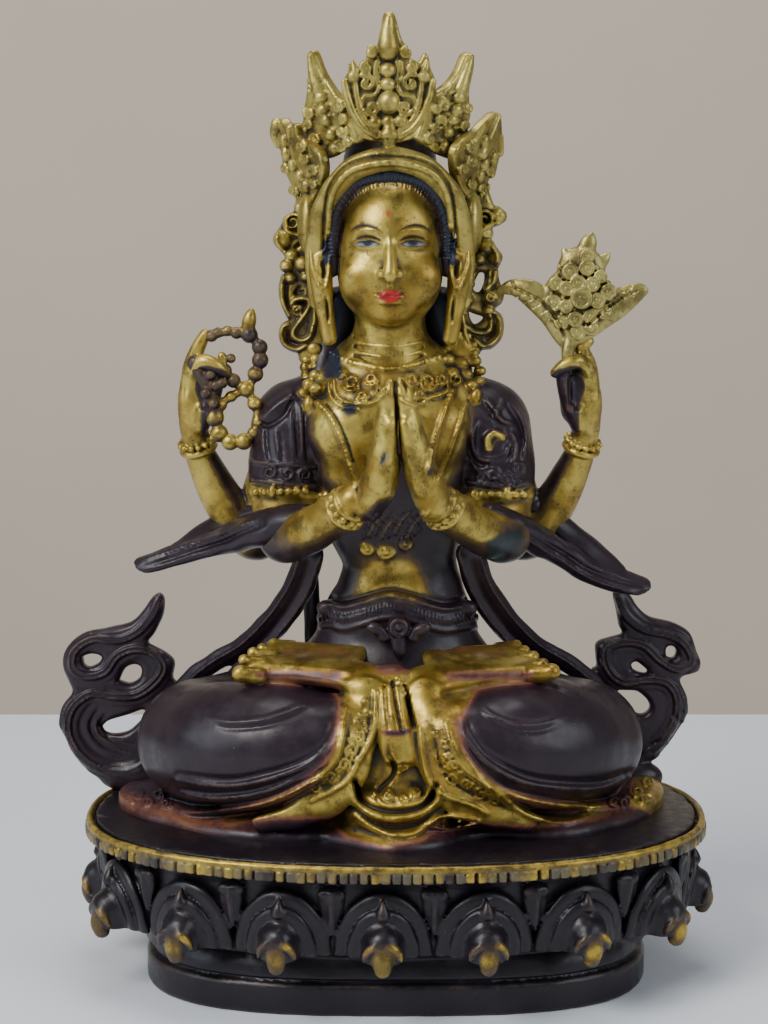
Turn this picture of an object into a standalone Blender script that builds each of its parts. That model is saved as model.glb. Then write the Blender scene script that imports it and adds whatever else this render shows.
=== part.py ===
"""Four-armed Avalokiteshvara seated on an oval lotus base, one brass casting.

Units are metres, +Z is up and -Y is the front. The origin is the centre of the underside.
The figure is written in shares of its own height: one UNIT is a 174th of the height from
the seat to the tip of the crown, which is close to a millimetre on the real statue.
"""

import math

import bmesh
import bpy
from mathutils import Matrix, Vector

# Lotus base
RIM_WIDTH = 0.138
RIM_DEPTH = 0.092
BASE_HEIGHT = 0.0355
RIM_BAND = 0.0030
FOOT_WIDTH = 0.111
FOOT_DEPTH = 0.068
FOOT_BAND = 0.0082
WAIST_INSET = 0.0125
PETAL_COUNT = 16
PETAL_HEIGHT = 0.0185
OVAL_POWER = 2.3
FOOT_POWER = 2.9

# Figure
FIGURE_HEIGHT = 0.174
UNIT = FIGURE_HEIGHT / 174.0
FIGURE_SHIFT = -0.0013

# Solid
VOXEL = 0.00055
MOST_ROUNDS = 6
TRIANGLES = 9600
CUT_DEPTH = 0.004

OVAL_POINTS = 72
PATH_STEPS = 5
TUBE_ROUNDNESS = 3
BALL_SIDES = 20
BALL_ROWS = 12
THINNEST = 0.05
DOME_SHARES = (0.5, 0.85, 0.985)

DARK_BRONZE = (0.055, 0.036, 0.042, 1.0)

# Every form of the casting is gathered here, in metres, and melted together at the end.
casting = bmesh.new()


# Modelling helpers

def gather(mesh):
    casting.from_mesh(mesh)
    bpy.data.meshes.remove(mesh)


def figure_frame():
    """Places figure units on top of the base."""
    lift = Matrix.Translation((FIGURE_SHIFT, 0.0, BASE_HEIGHT))
    return lift @ Matrix.Scale(UNIT, 4)


def turned(angles):
    """A rotation by degrees about X, then Y, then Z."""
    turn = Matrix.Identity(4)
    for angle, axis in zip(angles, "XYZ"):
        turn = Matrix.Rotation(math.radians(angle), 4, axis) @ turn
    return turn


def ball(centre, radii, at=None, turn=(0, 0, 0)):
    """An ellipsoid, turned before it is placed."""
    place = figure_frame() if at is None else at
    form = bmesh.new()
    bmesh.ops.create_uvsphere(form, u_segments=BALL_SIDES, v_segments=BALL_ROWS, radius=1.0)
    form.transform(place @ Matrix.Translation(centre) @ turned(turn) @ Matrix.Diagonal((*radii, 1.0)))
    mesh = bpy.data.meshes.new("ball")
    form.to_mesh(mesh)
    form.free()
    gather(mesh)


def smooth_path(rows):
    """Catmull-Rom curve through points that carry a radius as their fourth number."""
    rows = [Vector(p) for p in rows]
    rows = [2 * rows[0] - rows[1], *rows, 2 * rows[-1] - rows[-2]]
    path = []
    for a, b, c, d in zip(rows, rows[1:], rows[2:], rows[3:]):
        for step in range(PATH_STEPS):
            t = step / PATH_STEPS
            bend = (2 * a - 5 * b + 4 * c - d) * t**2 + (3 * b - a - 3 * c + d) * t**3
            path.append(0.5 * (2 * b + (c - a) * t + bend))
    path.append(rows[-2])
    return [(row.to_3d(), max(row[3], THINNEST)) for row in path]


def dome(end, before):
    """Path points that round off the end of a tube."""
    (tip, radius), (inner, _) = end, before
    ahead = (tip - inner).normalized()
    return [(tip + ahead * radius * share, radius * math.sqrt(1 - share * share)) for share in DOME_SHARES]


def limb(rows, flat=1.0, along=(0, 1, 0), at=None):
    """A tube of changing radius through (x, y, z, radius), flattened along one direction."""
    place = figure_frame() if at is None else at
    squeeze = Matrix.Scale(flat, 4, Vector(along).normalized())
    stretch = squeeze.inverted()
    path = [(stretch @ spot, radius) for spot, radius in smooth_path(rows)]
    path = dome(path[0], path[1])[::-1] + path + dome(path[-1], path[-2])
    curve = bpy.data.curves.new("limb", "CURVE")
    curve.dimensions = "3D"
    curve.bevel_depth = 1.0
    curve.bevel_resolution = TUBE_ROUNDNESS
    curve.use_fill_caps = True
    spline = curve.splines.new("POLY")
    spline.points.add(len(path) - 1)
    for point, (spot, radius) in zip(spline.points, path):
        point.co = (*spot, 1.0)
        point.radius = radius
    tube = bpy.data.objects.new("limb", curve)
    bpy.context.scene.collection.objects.link(tube)
    graph = bpy.context.evaluated_depsgraph_get()
    mesh = bpy.data.meshes.new_from_object(tube.evaluated_get(graph))
    mesh.transform(place @ squeeze)
    bpy.data.objects.remove(tube)
    bpy.data.curves.remove(curve)
    gather(mesh)


def loft(rings):
    """Skins rings of equal length and closes both ends."""
    form = bmesh.new()
    rows = [[form.verts.new(spot) for spot in ring] for ring in rings]
    for low, high in zip(rows, rows[1:]):
        for i in range(len(low)):
            j = (i + 1) % len(low)
            form.faces.new((low[i], low[j], high[j], high[i]))
    form.faces.new(rows[0][::-1])
    form.faces.new(rows[-1])
    mesh = bpy.data.meshes.new("loft")
    form.to_mesh(mesh)
    form.free()
    gather(mesh)


# Lotus base

def oval(half_width, half_depth, power, z):
    """A superellipse ring, which is an oval with slightly squared shoulders."""
    ring = []
    for i in range(OVAL_POINTS):
        angle = math.tau * i / OVAL_POINTS
        c, s = math.cos(angle), math.sin(angle)
        x = half_width * math.copysign(abs(c) ** (2 / power), c)
        y = half_depth * math.copysign(abs(s) ** (2 / power), s)
        ring.append(Vector((x, y, z)))
    return ring


def base_core():
    """The foot, the hollow waist above it, the drum behind the petals and the rim."""
    rings = []
    foot_rings = ((-CUT_DEPTH / 2, 0.0), (FOOT_BAND * 0.75, 0.0), (FOOT_BAND, 0.0006), (FOOT_BAND + 0.0002, 0.0015))
    for z, inset in foot_rings:
        rings.append(oval(FOOT_WIDTH / 2 - inset, FOOT_DEPTH / 2 - inset, FOOT_POWER, z))
    under_rim = BASE_HEIGHT - RIM_BAND
    drum_rings = (
        (FOOT_BAND + 0.0040, WAIST_INSET),
        (FOOT_BAND + 0.0065, WAIST_INSET * 0.62),
        (under_rim - 0.0120, WAIST_INSET * 0.42),
        (under_rim - 0.0020, WAIST_INSET * 0.28),
        (under_rim - 0.0003, WAIST_INSET * 0.16),
        (under_rim + 0.0003, 0.0004),
        (BASE_HEIGHT - RIM_BAND / 2, 0.0),
        (BASE_HEIGHT - 0.0003, 0.0005),
        (BASE_HEIGHT, 0.0014),
    )
    for z, inset in drum_rings:
        rings.append(oval(RIM_WIDTH / 2 - inset, RIM_DEPTH / 2 - inset, OVAL_POWER, z))
    loft(rings)


def petal_places(count, half_width, half_depth):
    """Points evenly spaced along the oval, each with its outward direction in radians."""
    fine = 1440
    line = [
        Vector((half_width * math.cos(math.tau * i / fine), half_depth * math.sin(math.tau * i / fine)))
        for i in range(fine + 1)
    ]
    lengths = [0.0]
    for a, b in zip(line, line[1:]):
        lengths.append(lengths[-1] + (b - a).length)
    places = []
    for n in range(count):
        # The first place is the middle of the front, where the angle is three quarters of a turn.
        wanted = (lengths[fine * 3 // 4] + lengths[-1] * n / count) % lengths[-1]
        i = min(range(fine), key=lambda k: abs(lengths[k] - wanted))
        step = line[i + 1] - line[i]
        places.append((line[i], math.atan2(-step.x, step.y)))
    return places


def petals():
    """Two nested arches and a curled tip for each petal, with a bud between neighbours."""
    inset = WAIST_INSET * 0.5
    top = BASE_HEIGHT - RIM_BAND - 0.0025
    places = petal_places(PETAL_COUNT * 2, RIM_WIDTH / 2 - inset, RIM_DEPTH / 2 - inset)
    pitch = math.pi * (RIM_WIDTH + RIM_DEPTH - 4 * inset) / 2 / PETAL_COUNT
    for n, (point, outward) in enumerate(places):
        turn = Matrix.Rotation(outward, 4, "Z")
        at = Matrix.Translation((point.x, point.y, 0)) @ turn
        if n % 2:
            ball((-0.0004, 0, top - 0.0035), (0.0034, 0.0028, 0.0042), at)
            continue
        half = PETAL_HEIGHT / 2
        ball((-0.0006, 0, top - half), (0.0052, pitch * 0.49, half), at)
        ball((0.0, 0, top - half * 1.22), (0.0058, pitch * 0.34, half * 0.72), at)
        ball((0.0020, 0, top - half * 1.55), (0.0042, pitch * 0.17, half * 0.46), at, (0, -12, 0))


# Figure, in figure units from the seat

def legs():
    for side in (-1, 1):
        limb([(side * 12, 8, 15, 13), (side * 28, 4, 17, 14), (side * 42, -3, 17, 12.6)])
        shin = [(43, -6, 16.5, 12.4), (36, -14, 18, 13.6), (26, -19, 18.5, 13.8), (16, -23, 20, 11.6), (8, -26, 24, 8)]
        limb([(side * x, y, z, r) for x, y, z, r in shin])
        ball((side * 33, -9, 3.0), (26, 20, 3.4))
        ball((side * 50, -3, 2.0), (11, 11, 2.8))
        ball((side * 30, -19, 5.5), (22, 11.5, 3.4), turn=(0, side * 4, 0))
    ball((0, 0, 17), (30, 21, 16))
    ball((2, -17, 2.2), (27, 13.5, 3.6))


def apron():
    """The robe's front panel, falling from between the feet to the seat."""
    limb([(0, -24, 31, 6), (0.5, -26, 22, 8), (1.5, -24, 12, 11.5), (2, -20, 4, 13)], flat=0.62)
    limb([(0.5, -28, 31, 2.6), (0, -31, 24, 3.2), (0.5, -31.5, 19, 3.4)], flat=0.7)
    ball((2, -27, 4.2), (9.5, 5.5, 4.2))
    for side in (-1, 1):
        band = [(5, -28, 32, 2.8), (7, -30.5, 24, 2.6), (9.5, -31, 15, 2.6), (15, -30, 7, 2.6), (26, -28, 3.4, 2.2)]
        limb([(side * x + 0.5, y, z, r) for x, y, z, r in band])


def feet():
    left = [(-29.5, -13.5, 37.2, 5.2), (-22, -16, 38.3, 5.6), (-12, -20, 37.2, 4.6), (-5.5, -23, 35.6, 4.4)]
    right = [(31.5, -13.5, 36.0, 5.2), (24, -16, 36.6, 5.6), (14, -20, 35.2, 4.6), (7.5, -23, 33.0, 4.4)]
    for foot in (left, right):
        limb(foot, flat=0.62, along=(0, 0, 1))
        ball(foot[-1][:3], (5.2, 4.4, 3.2))
        side = math.copysign(1, foot[0][0])
        for toe in range(5):
            ball((foot[0][0] + side * (2.6 - 1.3 * toe), -18.6 + 2.5 * toe, foot[0][2] + 0.2 + 0.5 * toe), (2.0, 1.35, 1.5))


def torso():
    ball((1.5, 2, 32), (22, 15, 11))
    trunk = [(1.5, 2, 30, 20), (1.7, 1.5, 39, 17.8), (2.2, 1, 46, 15.3), (2.4, 1, 52, 12.6), (1.8, 0.5, 60, 13.2)]
    trunk += [(0.8, 0, 70, 16.4), (0, 0, 81, 19.4), (-0.2, 0.5, 90, 17.5), (-0.3, 1, 96, 11)]
    limb(trunk, flat=0.68)
    limb([(-0.3, 0, 92, 11), (-0.1, -1.5, 99, 8.3), (0, -2.5, 106, 7.7), (0, -3, 112, 7.6)])
    belt = [(-14.6, 2, 45.5, 1.8), (-9, -8.4, 44.6, 1.8), (1.8, -11.2, 47.0, 1.8), (12.6, -8.4, 44.6, 1.8), (18.2, 2, 45.5, 1.8)]
    limb(belt)
    ball((1.8, -12.2, 43.6), (2.4, 1.6, 2.4))
    ball((1.8, -12.2, 40.4), (1.6, 1.4, 3.4))
    for side in (-1, 1):
        ball((side * 20, 1, 85), (10.4, 9.6, 11.2))
        ball((side * 14, 2, 92), (9, 8, 6.5), turn=(0, side * 28, 0))
    ball((0, 6.5, 80), (21, 6.5, 15))


def front_arms():
    for side in (-1, 1):
        shift = 1.0
        upper = [(21, 1, 86, 9.3), (23, -1, 77, 9.0), (24.2, -3.5, 68, 7.6), (24.2, -6.5, 61.5, 6.4)]
        fore = [(23.8, -8.5, 60.8, 6.2), (18.5, -15.5, 63.6, 5.7), (12.5, -22, 68.4, 4.7), (8.6, -26, 72.6, 3.8)]
        limb([(side * x + 0.4, y, z, r) for x, y, z, r in upper])
        limb([(side * x + shift, y, z, r) for x, y, z, r in fore])
        ball((side * 24 + shift, -8, 61), (6.4, 6.4, 6.4))
        palm = [(7.0, -27, 74.5, 3.8), (5.6, -28.8, 79, 4.2), (4.0, -30, 86, 3.7), (2.4, -30.8, 93, 2.7), (1.2, -31, 98.6, 1.4)]
        limb([(side * x + 0.3, y, z, r) for x, y, z, r in palm], flat=1.2)
        ball((side * 3.0 + 0.3, -33.4, 88), (1.6, 1.6, 5.6), turn=(8, side * -14, 0))
        cuff = [(side * 9.4 + shift, -25, 71.6), (0, 0, 0)]
        ball(cuff[0], (2.0, 5.2, 5.2), turn=(0, side * -42, side * -40))
        ball((side * 24.6 + 0.4, -3, 70.5), (8.8, 8.6, 2.2), turn=(-14, side * -6, 0))


def raised_arms():
    for side in (-1, 1):
        arm = [(20, 6, 84, 7.2), (26, 8, 72, 6.4), (29, 6, 61.5, 5.8), (32.5, 6, 62.5, 5.2), (37.4, 6, 69.3, 4.6)]
        arm += [(41, 5, 76, 3.9), (43.3, 3.5, 81.5, 3.3), (44.4, 1.5, 87, 3.6), (44.8, 0, 93, 3.5), (44.0, -1.5, 99, 2.8)]
        if side < 0:
            arm += [(42.4, -2.5, 103.5, 2.0), (40.2, -3, 106.4, 1.2)]
        else:
            arm += [(43.6, -2, 103, 1.7), (42.8, -2, 106.0, 1.0)]
        limb([(side * x, y, z, r) for x, y, z, r in arm])
        ball((side * 43.2, 3.6, 81.2), (4.5, 4.5, 1.7), turn=(-12, side * -18, 0))
        ball((side * 41.6, -2.6, 92), (2.6, 3.4, 6.4))
        finger = [(42.5, -3, 101, 1.7), (39.6, -4.6, 101.8, 1.5), (37.2, -4.6, 100.8, 1.3)]
        limb([(side * x, y, z, r) for x, y, z, r in finger])


def head():
    ball((0, -2, 126), (12.3, 13.6, 16))
    ball((0, -6, 117.5), (10.8, 10.6, 9.4))
    ball((0, -12.2, 111.8), (4.8, 4.0, 3.2))
    limb([(0, -15.4, 128, 1.0), (0, -17.2, 122, 1.5), (0, -17.8, 119.8, 1.9)])
    ball((0, -15.6, 115.0), (3.0, 1.6, 1.5))
    ball((0, 1.5, 131), (14.2, 13.5, 14))
    limb([(0, 4, 138, 11), (0, 5, 147, 9.2), (0, 5, 154, 6.8), (0, 5, 158, 4.2), (0, 5, 161, 2.6)])
    ball((0, 9, 104), (15, 6, 15))
    for side in (-1, 1):
        ear = [(14.6, -3.5, 126, 2.3), (15.6, -4.5, 121, 2.4), (14.8, -5.5, 113, 1.9), (13.2, -6.5, 106.5, 2.2)]
        limb([(side * x, y, z, r) for x, y, z, r in ear])
        limb([(side * 11, 4, 112, 4.2), (side * 13.5, 3, 102, 4.0), (side * 15, -1, 95, 3.4)])


def ornaments():
    """Ear pendants, side rosettes, ribbon curls, the necklace and the long chain."""
    for side in (-1, 1):
        ball((side * 21.2, 2, 131.0), (3.4, 2.6, 3.6))
        curls = [(18.6, 2, 134, 2.4), (21.6, 2, 129, 2.8), (21.6, 2, 124, 2.8), (19.4, 2, 120.6, 2.8), (20.6, 1, 116, 2.9)]
        curls += [(22.0, 1, 110.6, 2.5), (21.8, 1, 105.4, 2.4), (18.6, 0, 102.6, 2.4), (17.0, 0, 106.4, 2.4), (17.6, 1, 111, 2.2)]
        limb([(side * x, y, z, r) for x, y, z, r in curls], flat=0.8)
        for n, (x, z, r) in enumerate(((15.6, 103.6, 3.0), (16.6, 98.4, 3.2), (17.0, 93.4, 2.6), (17.6, 89.4, 1.7))):
            ball((side * x + 0.5, -9.6 + 0.2 * n, z), (r, 2.2, r))
        limb([(side * 13 + 0.3, -11.6, 90, 0.9), (side * 8.4 + 0.5, -13.2, 80, 0.9), (side * 4.6 + 0.8, -13.6, 70, 0.9)])
    limb([(-12.5, -8, 97.5, 1.5), (-7, -12.4, 94.6, 2.6), (0, -13.8, 93.6, 3.0), (7, -12.4, 94.6, 2.6), (12.5, -8, 97.5, 1.5)], flat=0.6)
    for x, z in ((-3.4, 62.4), (0.4, 61.2), (4.6, 62.8)):
        ball((x, -9.8, z), (2.0, 1.8, 2.0))


def crown_leaf(lean, turn, foot, size):
    """One upright leaf: a cupped body, two side horns and a spike. Local X is across, Z is up."""
    place = Matrix.Translation(foot) @ Matrix.Rotation(math.radians(turn), 4, "Z")
    at = figure_frame() @ place @ Matrix.Rotation(math.radians(lean), 4, "X") @ Matrix.Scale(size, 4)
    ball((0, 0, 9.5), (9.3, 2.2, 8.6), at)
    ball((0, 0, 18), (5.2, 2.0, 6.4), at)
    ball((0, -0.6, 2.4), (3.6, 1.9, 4.2), at)
    limb([(0, 0, 20, 3.0), (0, 0, 24, 2.1), (0, 0, 28.6, 0.5)], at=at)
    for side in (-1, 1):
        limb([(side * 7.8, 0, 11, 1.9), (side * 8.6, 0, 15, 1.3), (side * 8.4, 0, 18.2, 0.4)], at=at)
        ball((side * 4.2, -1.4, 5.0), (1.8, 1.8, 1.8), at)
    for z, r in ((4.6, 2.0), (9.2, 2.5), (13.6, 1.9), (17.2, 1.8), (20.8, 1.7)):
        ball((0, -1.6, z), (r, 1.5, r), at)


def crown():
    band = [(-15.4, -5.5, 113, 1.6), (-16.0, -7.5, 124, 2.2), (-13.8, -11.5, 134, 2.5), (-8, -15.6, 141, 2.7)]
    arch = [*band, (0, -17.4, 143.6, 2.8), *[(-x, y, z, r) for x, y, z, r in reversed(band)]]
    limb(arch)
    crown_leaf(2, 0, (0, -15.4, 145.0), 1.0)
    for side in (-1, 1):
        crown_leaf(11, side * 46, (side * 12.4, -7.0, 138.5), 0.99)
        crown_leaf(16, side * 78, (side * 17.6, 2.0, 129.8), 0.85)
        ball((side * 17.6, -2, 130), (2.4, 5, 7))


def sashes():
    """Scarf ends that fly out from the elbows, and the straps that drop behind the knees."""
    left = [(-15, -12, 68, 3.4), (-22, -9, 65.4, 4.6), (-31, -3, 62, 5.2), (-40, 1, 59.2, 5.2), (-49, 2, 56.4, 4.4), (-57, 2, 53.6, 2.0)]
    right = [(15, -12, 70, 3.4), (23, -9, 66.2, 4.6), (31, -4, 61, 4.8), (39, 0, 56.6, 5.0), (47, 2, 53.4, 4.6), (57, 2, 49.6, 2.4)]
    limb(left, flat=0.34, along=(0.25, 0, 1))
    limb(right, flat=0.34, along=(-0.35, 0, 1))
    limb([(29, 6, 64, 3.4), (38, 7, 59.4, 3.6), (46, 6, 54.6, 2.8), (52, 5, 51.4, 1.6)], flat=0.42, along=(-0.5, 0, 1))
    limb([(-27, 6, 65, 3.4), (-36, 7, 62.6, 3.6), (-45, 6, 58.6, 1.8)], flat=0.42, along=(0.3, 0, 1))
    for side in (-1, 1):
        strap = [(17.6, -3, 58, 3.0), (20.2, 0, 50, 3.2), (25.4, 3, 42, 3.2), (32, 6, 35.2, 3.0), (39.4, 9, 30.6, 2.8)]
        strap += [(46, 12, 25, 2.6), (51, 15, 17, 2.6), (54, 16, 9, 2.6)]
        limb([(side * x, y, z, r) for x, y, z, r in strap], flat=0.5)
    limb([(-18.6, 9, 60, 1.7), (-17.8, 10, 48, 1.9), (-17.2, 10, 36, 2.1), (-17, 9, 26, 2.1)], flat=0.6)


def scarf_loops():
    """The pierced scrolls at each side of the seat, one ribbon each."""
    left = [(-52.9, 44.8, 0.8), (-54.4, 39.7, 1.9), (-57.6, 35.6, 2.2), (-64.5, 34.3, 2.0), (-71.0, 32.2, 2.0)]
    left += [(-72.7, 27.6, 2.0), (-69.3, 23.3, 2.0), (-64.9, 25.0, 1.7), (-61.6, 29.9, 1.5), (-57.2, 32.0, 1.9)]
    left += [(-52.4, 30.4, 2.1), (-51.6, 25.7, 2.1), (-55.1, 21.7, 2.1), (-60.2, 20.3, 2.0), (-66.6, 20.0, 2.0)]
    left += [(-72.2, 17.7, 2.2), (-73.9, 12.7, 2.3), (-71.0, 7.3, 2.3), (-65.0, 4.5, 2.4), (-57.6, 5.4, 2.6), (-52.4, 9.5, 2.6)]
    right = [(52.1, 45.0, 0.8), (53.1, 40.9, 2.0), (57.3, 37.4, 2.2), (63.0, 36.4, 2.0), (68.1, 33.9, 2.0)]
    right += [(68.9, 29.4, 1.9), (64.8, 27.4, 1.8), (60.8, 30.4, 1.7), (57.4, 32.6, 1.7), (52.3, 32.4, 2.1)]
    right += [(49.9, 28.5, 2.1), (52.9, 24.4, 2.0), (58.7, 23.8, 2.0), (63.9, 24.0, 2.2), (66.4, 19.8, 2.4)]
    right += [(64.1, 13.2, 2.6), (60.0, 8.0, 2.7), (56.6, 3.6, 2.8)]
    for path in (left, right):
        limb([(x, 16, z, r) for x, z, r in path], flat=0.85)
    ball((-58, 16, 3.0), (9, 3.6, 4.0))
    ball((56, 15, 3.0), (7, 4.0, 4.0))
    for side in (-1, 1):
        limb([(side * 44, 12, 8, 5), (side * 50, 14, 10, 4), (side * 55, 16, 8, 3)])


def mala():
    """A rosary in a figure of eight, held by the raised hand on the viewer's left."""
    loops = (((-32.6, 101.4), (5.2, 7.0), 14, 62), ((-32.2, 88.4), (4.8, 5.4), 12, 30))
    for (cx, cz), (rx, rz), count, start in loops:
        for n in range(count):
            angle = math.radians(start) + math.tau * n / count
            ball((cx + rx * math.cos(angle), -3.4, cz + rz * math.sin(angle)), (1.65, 1.5, 1.65))
    limb([(-30.6, -3.4, 107.5, 1.5), (-30.2, -3.4, 109.4, 1.3), (-30.0, -3.4, 111, 0.5)])
    limb([(-41, -3.2, 98, 2.4), (-38.4, -3.6, 95, 2.4), (-37, -3.4, 92, 1.8)])


def lotus():
    """The lotus held by the raised hand on the viewer's right: a cone of buds over two leaves."""
    ball((39.6, -3, 115), (6.2, 1.8, 8.6))
    rows = ((107.6, 2, 1.6), (110.6, 3, 1.8), (113.8, 4, 1.9), (117.2, 4, 1.9), (120.4, 3, 1.9), (123.4, 2, 1.6))
    for z, count, r in rows:
        for n in range(count):
            ball((39.6 + (n - (count - 1) / 2) * 3.5, -4.2, z), (r, 1.6, r))
    limb([(40.4, -3, 121, 2.6), (41.0, -3, 124.6, 1.7), (41.6, -3, 127.6, 0.5)], flat=0.6)
    limb([(38.4, -3, 105, 1.7), (36, -3, 110, 2.8), (31, -2.4, 115.4, 3.0), (24.4, -1, 116.8, 1.0)], flat=0.5)
    limb([(41, -3, 106, 1.6), (45.4, -3, 110.6, 3.0), (50.4, -3, 114.2, 3.0), (54.6, -3, 116.0, 1.6)], flat=0.5)
    limb([(39.4, -4, 98, 1.3), (38.6, -4, 102, 1.5), (39.0, -3.4, 107, 1.7)])


# The single casting

def shells_of(skin):
    """The separate closed surfaces of a mesh, as sets of points."""
    left = set(skin.verts)
    while left:
        stack = [left.pop()]
        shell = set(stack)
        while stack:
            for edge in stack.pop().link_edges:
                for vert in edge.verts:
                    if vert in left:
                        left.discard(vert)
                        shell.add(vert)
                        stack.append(vert)
        yield shell


def pinches(skin):
    """Places where the skin only just touches itself."""
    tight = [vert for vert in skin.verts if not vert.is_manifold]
    return [vert.co.copy() for vert in tight]


def fused():
    """Melts the overlapping forms into one skin. Places that only just touch are filled, and it is done again."""
    for _ in range(MOST_ROUNDS):
        mesh = bpy.data.meshes.new("forms")
        casting.to_mesh(mesh)
        forms = bpy.data.objects.new("forms", mesh)
        bpy.context.scene.collection.objects.link(forms)
        melt = forms.modifiers.new("melt", "REMESH")
        melt.mode = "VOXEL"
        melt.voxel_size = VOXEL
        graph = bpy.context.evaluated_depsgraph_get()
        melted = bpy.data.meshes.new_from_object(forms.evaluated_get(graph))
        bpy.data.objects.remove(forms)
        bpy.data.meshes.remove(mesh)
        skin = bmesh.new()
        skin.from_mesh(melted)
        tight = pinches(skin)
        if not tight:
            largest = max(shells_of(skin), key=len)
            bmesh.ops.delete(skin, geom=[v for v in skin.verts if v not in largest], context="VERTS")
            skin.to_mesh(melted)
            skin.free()
            return melted
        skin.free()
        bpy.data.meshes.remove(melted)
        for spot in tight:
            ball(spot, (VOXEL * 1.6,) * 3, Matrix.Identity(4))
    raise RuntimeError("the skin still touches itself")


def flat_underside(obj, workshop):
    """Cuts the casting off at the table."""
    bpy.ops.mesh.primitive_cube_add(size=1.0, location=(0, 0, -CUT_DEPTH))
    cutter = bpy.context.object
    cutter.name = "table_cutter"
    cutter.scale = (RIM_WIDTH * 2, RIM_DEPTH * 2, CUT_DEPTH * 2)
    cutter.hide_render = True
    cutter.display_type = "WIRE"
    for collection in list(cutter.users_collection):
        collection.objects.unlink(cutter)
    workshop.objects.link(cutter)
    cut = obj.modifiers.new("underside", "BOOLEAN")
    cut.operation = "DIFFERENCE"
    cut.solver = "EXACT"
    cut.object = cutter


def bronze():
    material = bpy.data.materials.new("dark_bronze")
    material.use_nodes = True
    shader = material.node_tree.nodes["Principled BSDF"]
    shader.inputs["Base Color"].default_value = DARK_BRONZE
    shader.inputs["Roughness"].default_value = 0.35
    shader.inputs["Metallic"].default_value = 0.6
    return material


def main():
    for old in list(bpy.data.objects):
        bpy.data.objects.remove(old)
    parts = bpy.data.collections.new("avalokiteshvara_statue")
    workshop = bpy.data.collections.new("cutters")
    for collection in (parts, workshop):
        bpy.context.scene.collection.children.link(collection)

    base_core()
    petals()
    for form in (legs, apron, feet, torso, front_arms, raised_arms, head, ornaments, crown):
        form()
    for form in (sashes, scarf_loops, mala, lotus):
        form()

    mesh = fused()
    mesh.name = "statue"
    mesh.materials.clear()
    mesh.materials.append(bronze())
    statue = bpy.data.objects.new("statue", mesh)
    parts.objects.link(statue)

    relax = statue.modifiers.new("relax", "SMOOTH")
    relax.factor = 0.5
    relax.iterations = 2
    reduce = statue.modifiers.new("reduce", "DECIMATE")
    reduce.ratio = TRIANGLES / (2 * len(mesh.polygons))
    reduce.use_collapse_triangulate = True
    flat_underside(statue, workshop)


main()
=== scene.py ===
"""Looks of a four-armed Avalokiteshvara statue: cast brass under dark lacquer and rubbed gold paint.

The modelling code works in millimetres: X to the viewer's right, -Y to the front and Z up. The
figure is measured from its seat, the base from the table. Forms are gathered as distances on a
fine grid, blended, carved and painted there, and then skinned.
"""

import math

import bpy
import numpy as np
from mathutils import Matrix, Vector


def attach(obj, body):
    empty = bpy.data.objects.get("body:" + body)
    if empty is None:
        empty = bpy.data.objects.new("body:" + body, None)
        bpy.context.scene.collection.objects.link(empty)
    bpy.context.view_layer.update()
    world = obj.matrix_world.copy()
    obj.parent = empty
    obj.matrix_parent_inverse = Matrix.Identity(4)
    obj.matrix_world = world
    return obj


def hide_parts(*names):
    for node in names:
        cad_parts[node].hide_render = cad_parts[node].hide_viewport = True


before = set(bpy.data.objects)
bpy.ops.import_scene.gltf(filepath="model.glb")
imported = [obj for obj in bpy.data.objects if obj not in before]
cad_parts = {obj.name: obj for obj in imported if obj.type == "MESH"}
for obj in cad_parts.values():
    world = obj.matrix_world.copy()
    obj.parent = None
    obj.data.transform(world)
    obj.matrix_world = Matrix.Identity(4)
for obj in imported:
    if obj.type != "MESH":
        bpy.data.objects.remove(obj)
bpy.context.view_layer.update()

# Where the figure sits on the base, in millimetres from the centre of the underside
FIGURE = (-1.3, 0.0, 35.5)
TABLE = (0.0, 0.0, 0.0)

MM = 0.001

# Distances are kept this far from a surface, and no limb is thinner than this, in millimetres
REACH = 3.0
THINNEST = 0.05

# Steps from one point of a smooth path to the next, where a call gives no other
STEPS = 4

# Features on the front are laid out as seen from here, in millimetres on the upright plane through
# the middle of the statue
EYE = (-2.6, -500.0, 175.0)

# Shares of gold paint
GOLD = 1.0
DARK = 0.0
COPPER = 0.42

# Most triangles for each piece
MOST = {
    "lotus_base": 170000,
    "robe_and_legs": 155000,
    "trunk_and_arms": 155000,
    "head": 100000,
    "crown": 120000,
    "sashes": 50000,
    "scarf_loops": 50000,
    "rosary": 40000,
    "lotus": 70000,
    "ornaments": 70000,
}

SEED = 7
STILL = Matrix.Identity(4)
chance = np.random.default_rng(SEED)
pieces = []


# Paths and turns

def turned(angles):
    """A rotation by degrees about X, then Y, then Z."""
    turn = Matrix.Identity(4)
    for angle, axis in zip(angles, "XYZ"):
        turn = Matrix.Rotation(math.radians(angle), 4, axis) @ turn
    return turn


def smooth_path(rows, steps=STEPS):
    """Catmull-Rom curve through rows of numbers."""
    rows = np.array(rows, float)
    padded = np.vstack([2 * rows[0] - rows[1], rows, 2 * rows[-1] - rows[-2]])
    t = (np.arange(steps) / steps)[:, None]
    parts = []
    for a, b, c, d in zip(padded, padded[1:], padded[2:], padded[3:]):
        bend = (2 * a - 5 * b + 4 * c - d) * t**2 + (3 * b - a - 3 * c + d) * t**3
        parts.append(0.5 * (2 * b + (c - a) * t + bend))
    return np.vstack([*parts, rows[-1:]])


def evenly(rows, gap):
    """Points an even gap apart along a smooth path."""
    path = smooth_path(rows, 12)
    steps = np.linalg.norm(np.diff(path, axis=0), axis=1)
    along = np.concatenate([[0], np.cumsum(steps)])
    count = max(int(round(along[-1] / gap)), 1)
    places = np.linspace(0, along[-1], count + 1)
    return np.stack([np.interp(places, along, path[:, i]) for i in range(path.shape[1])], axis=1)


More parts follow.
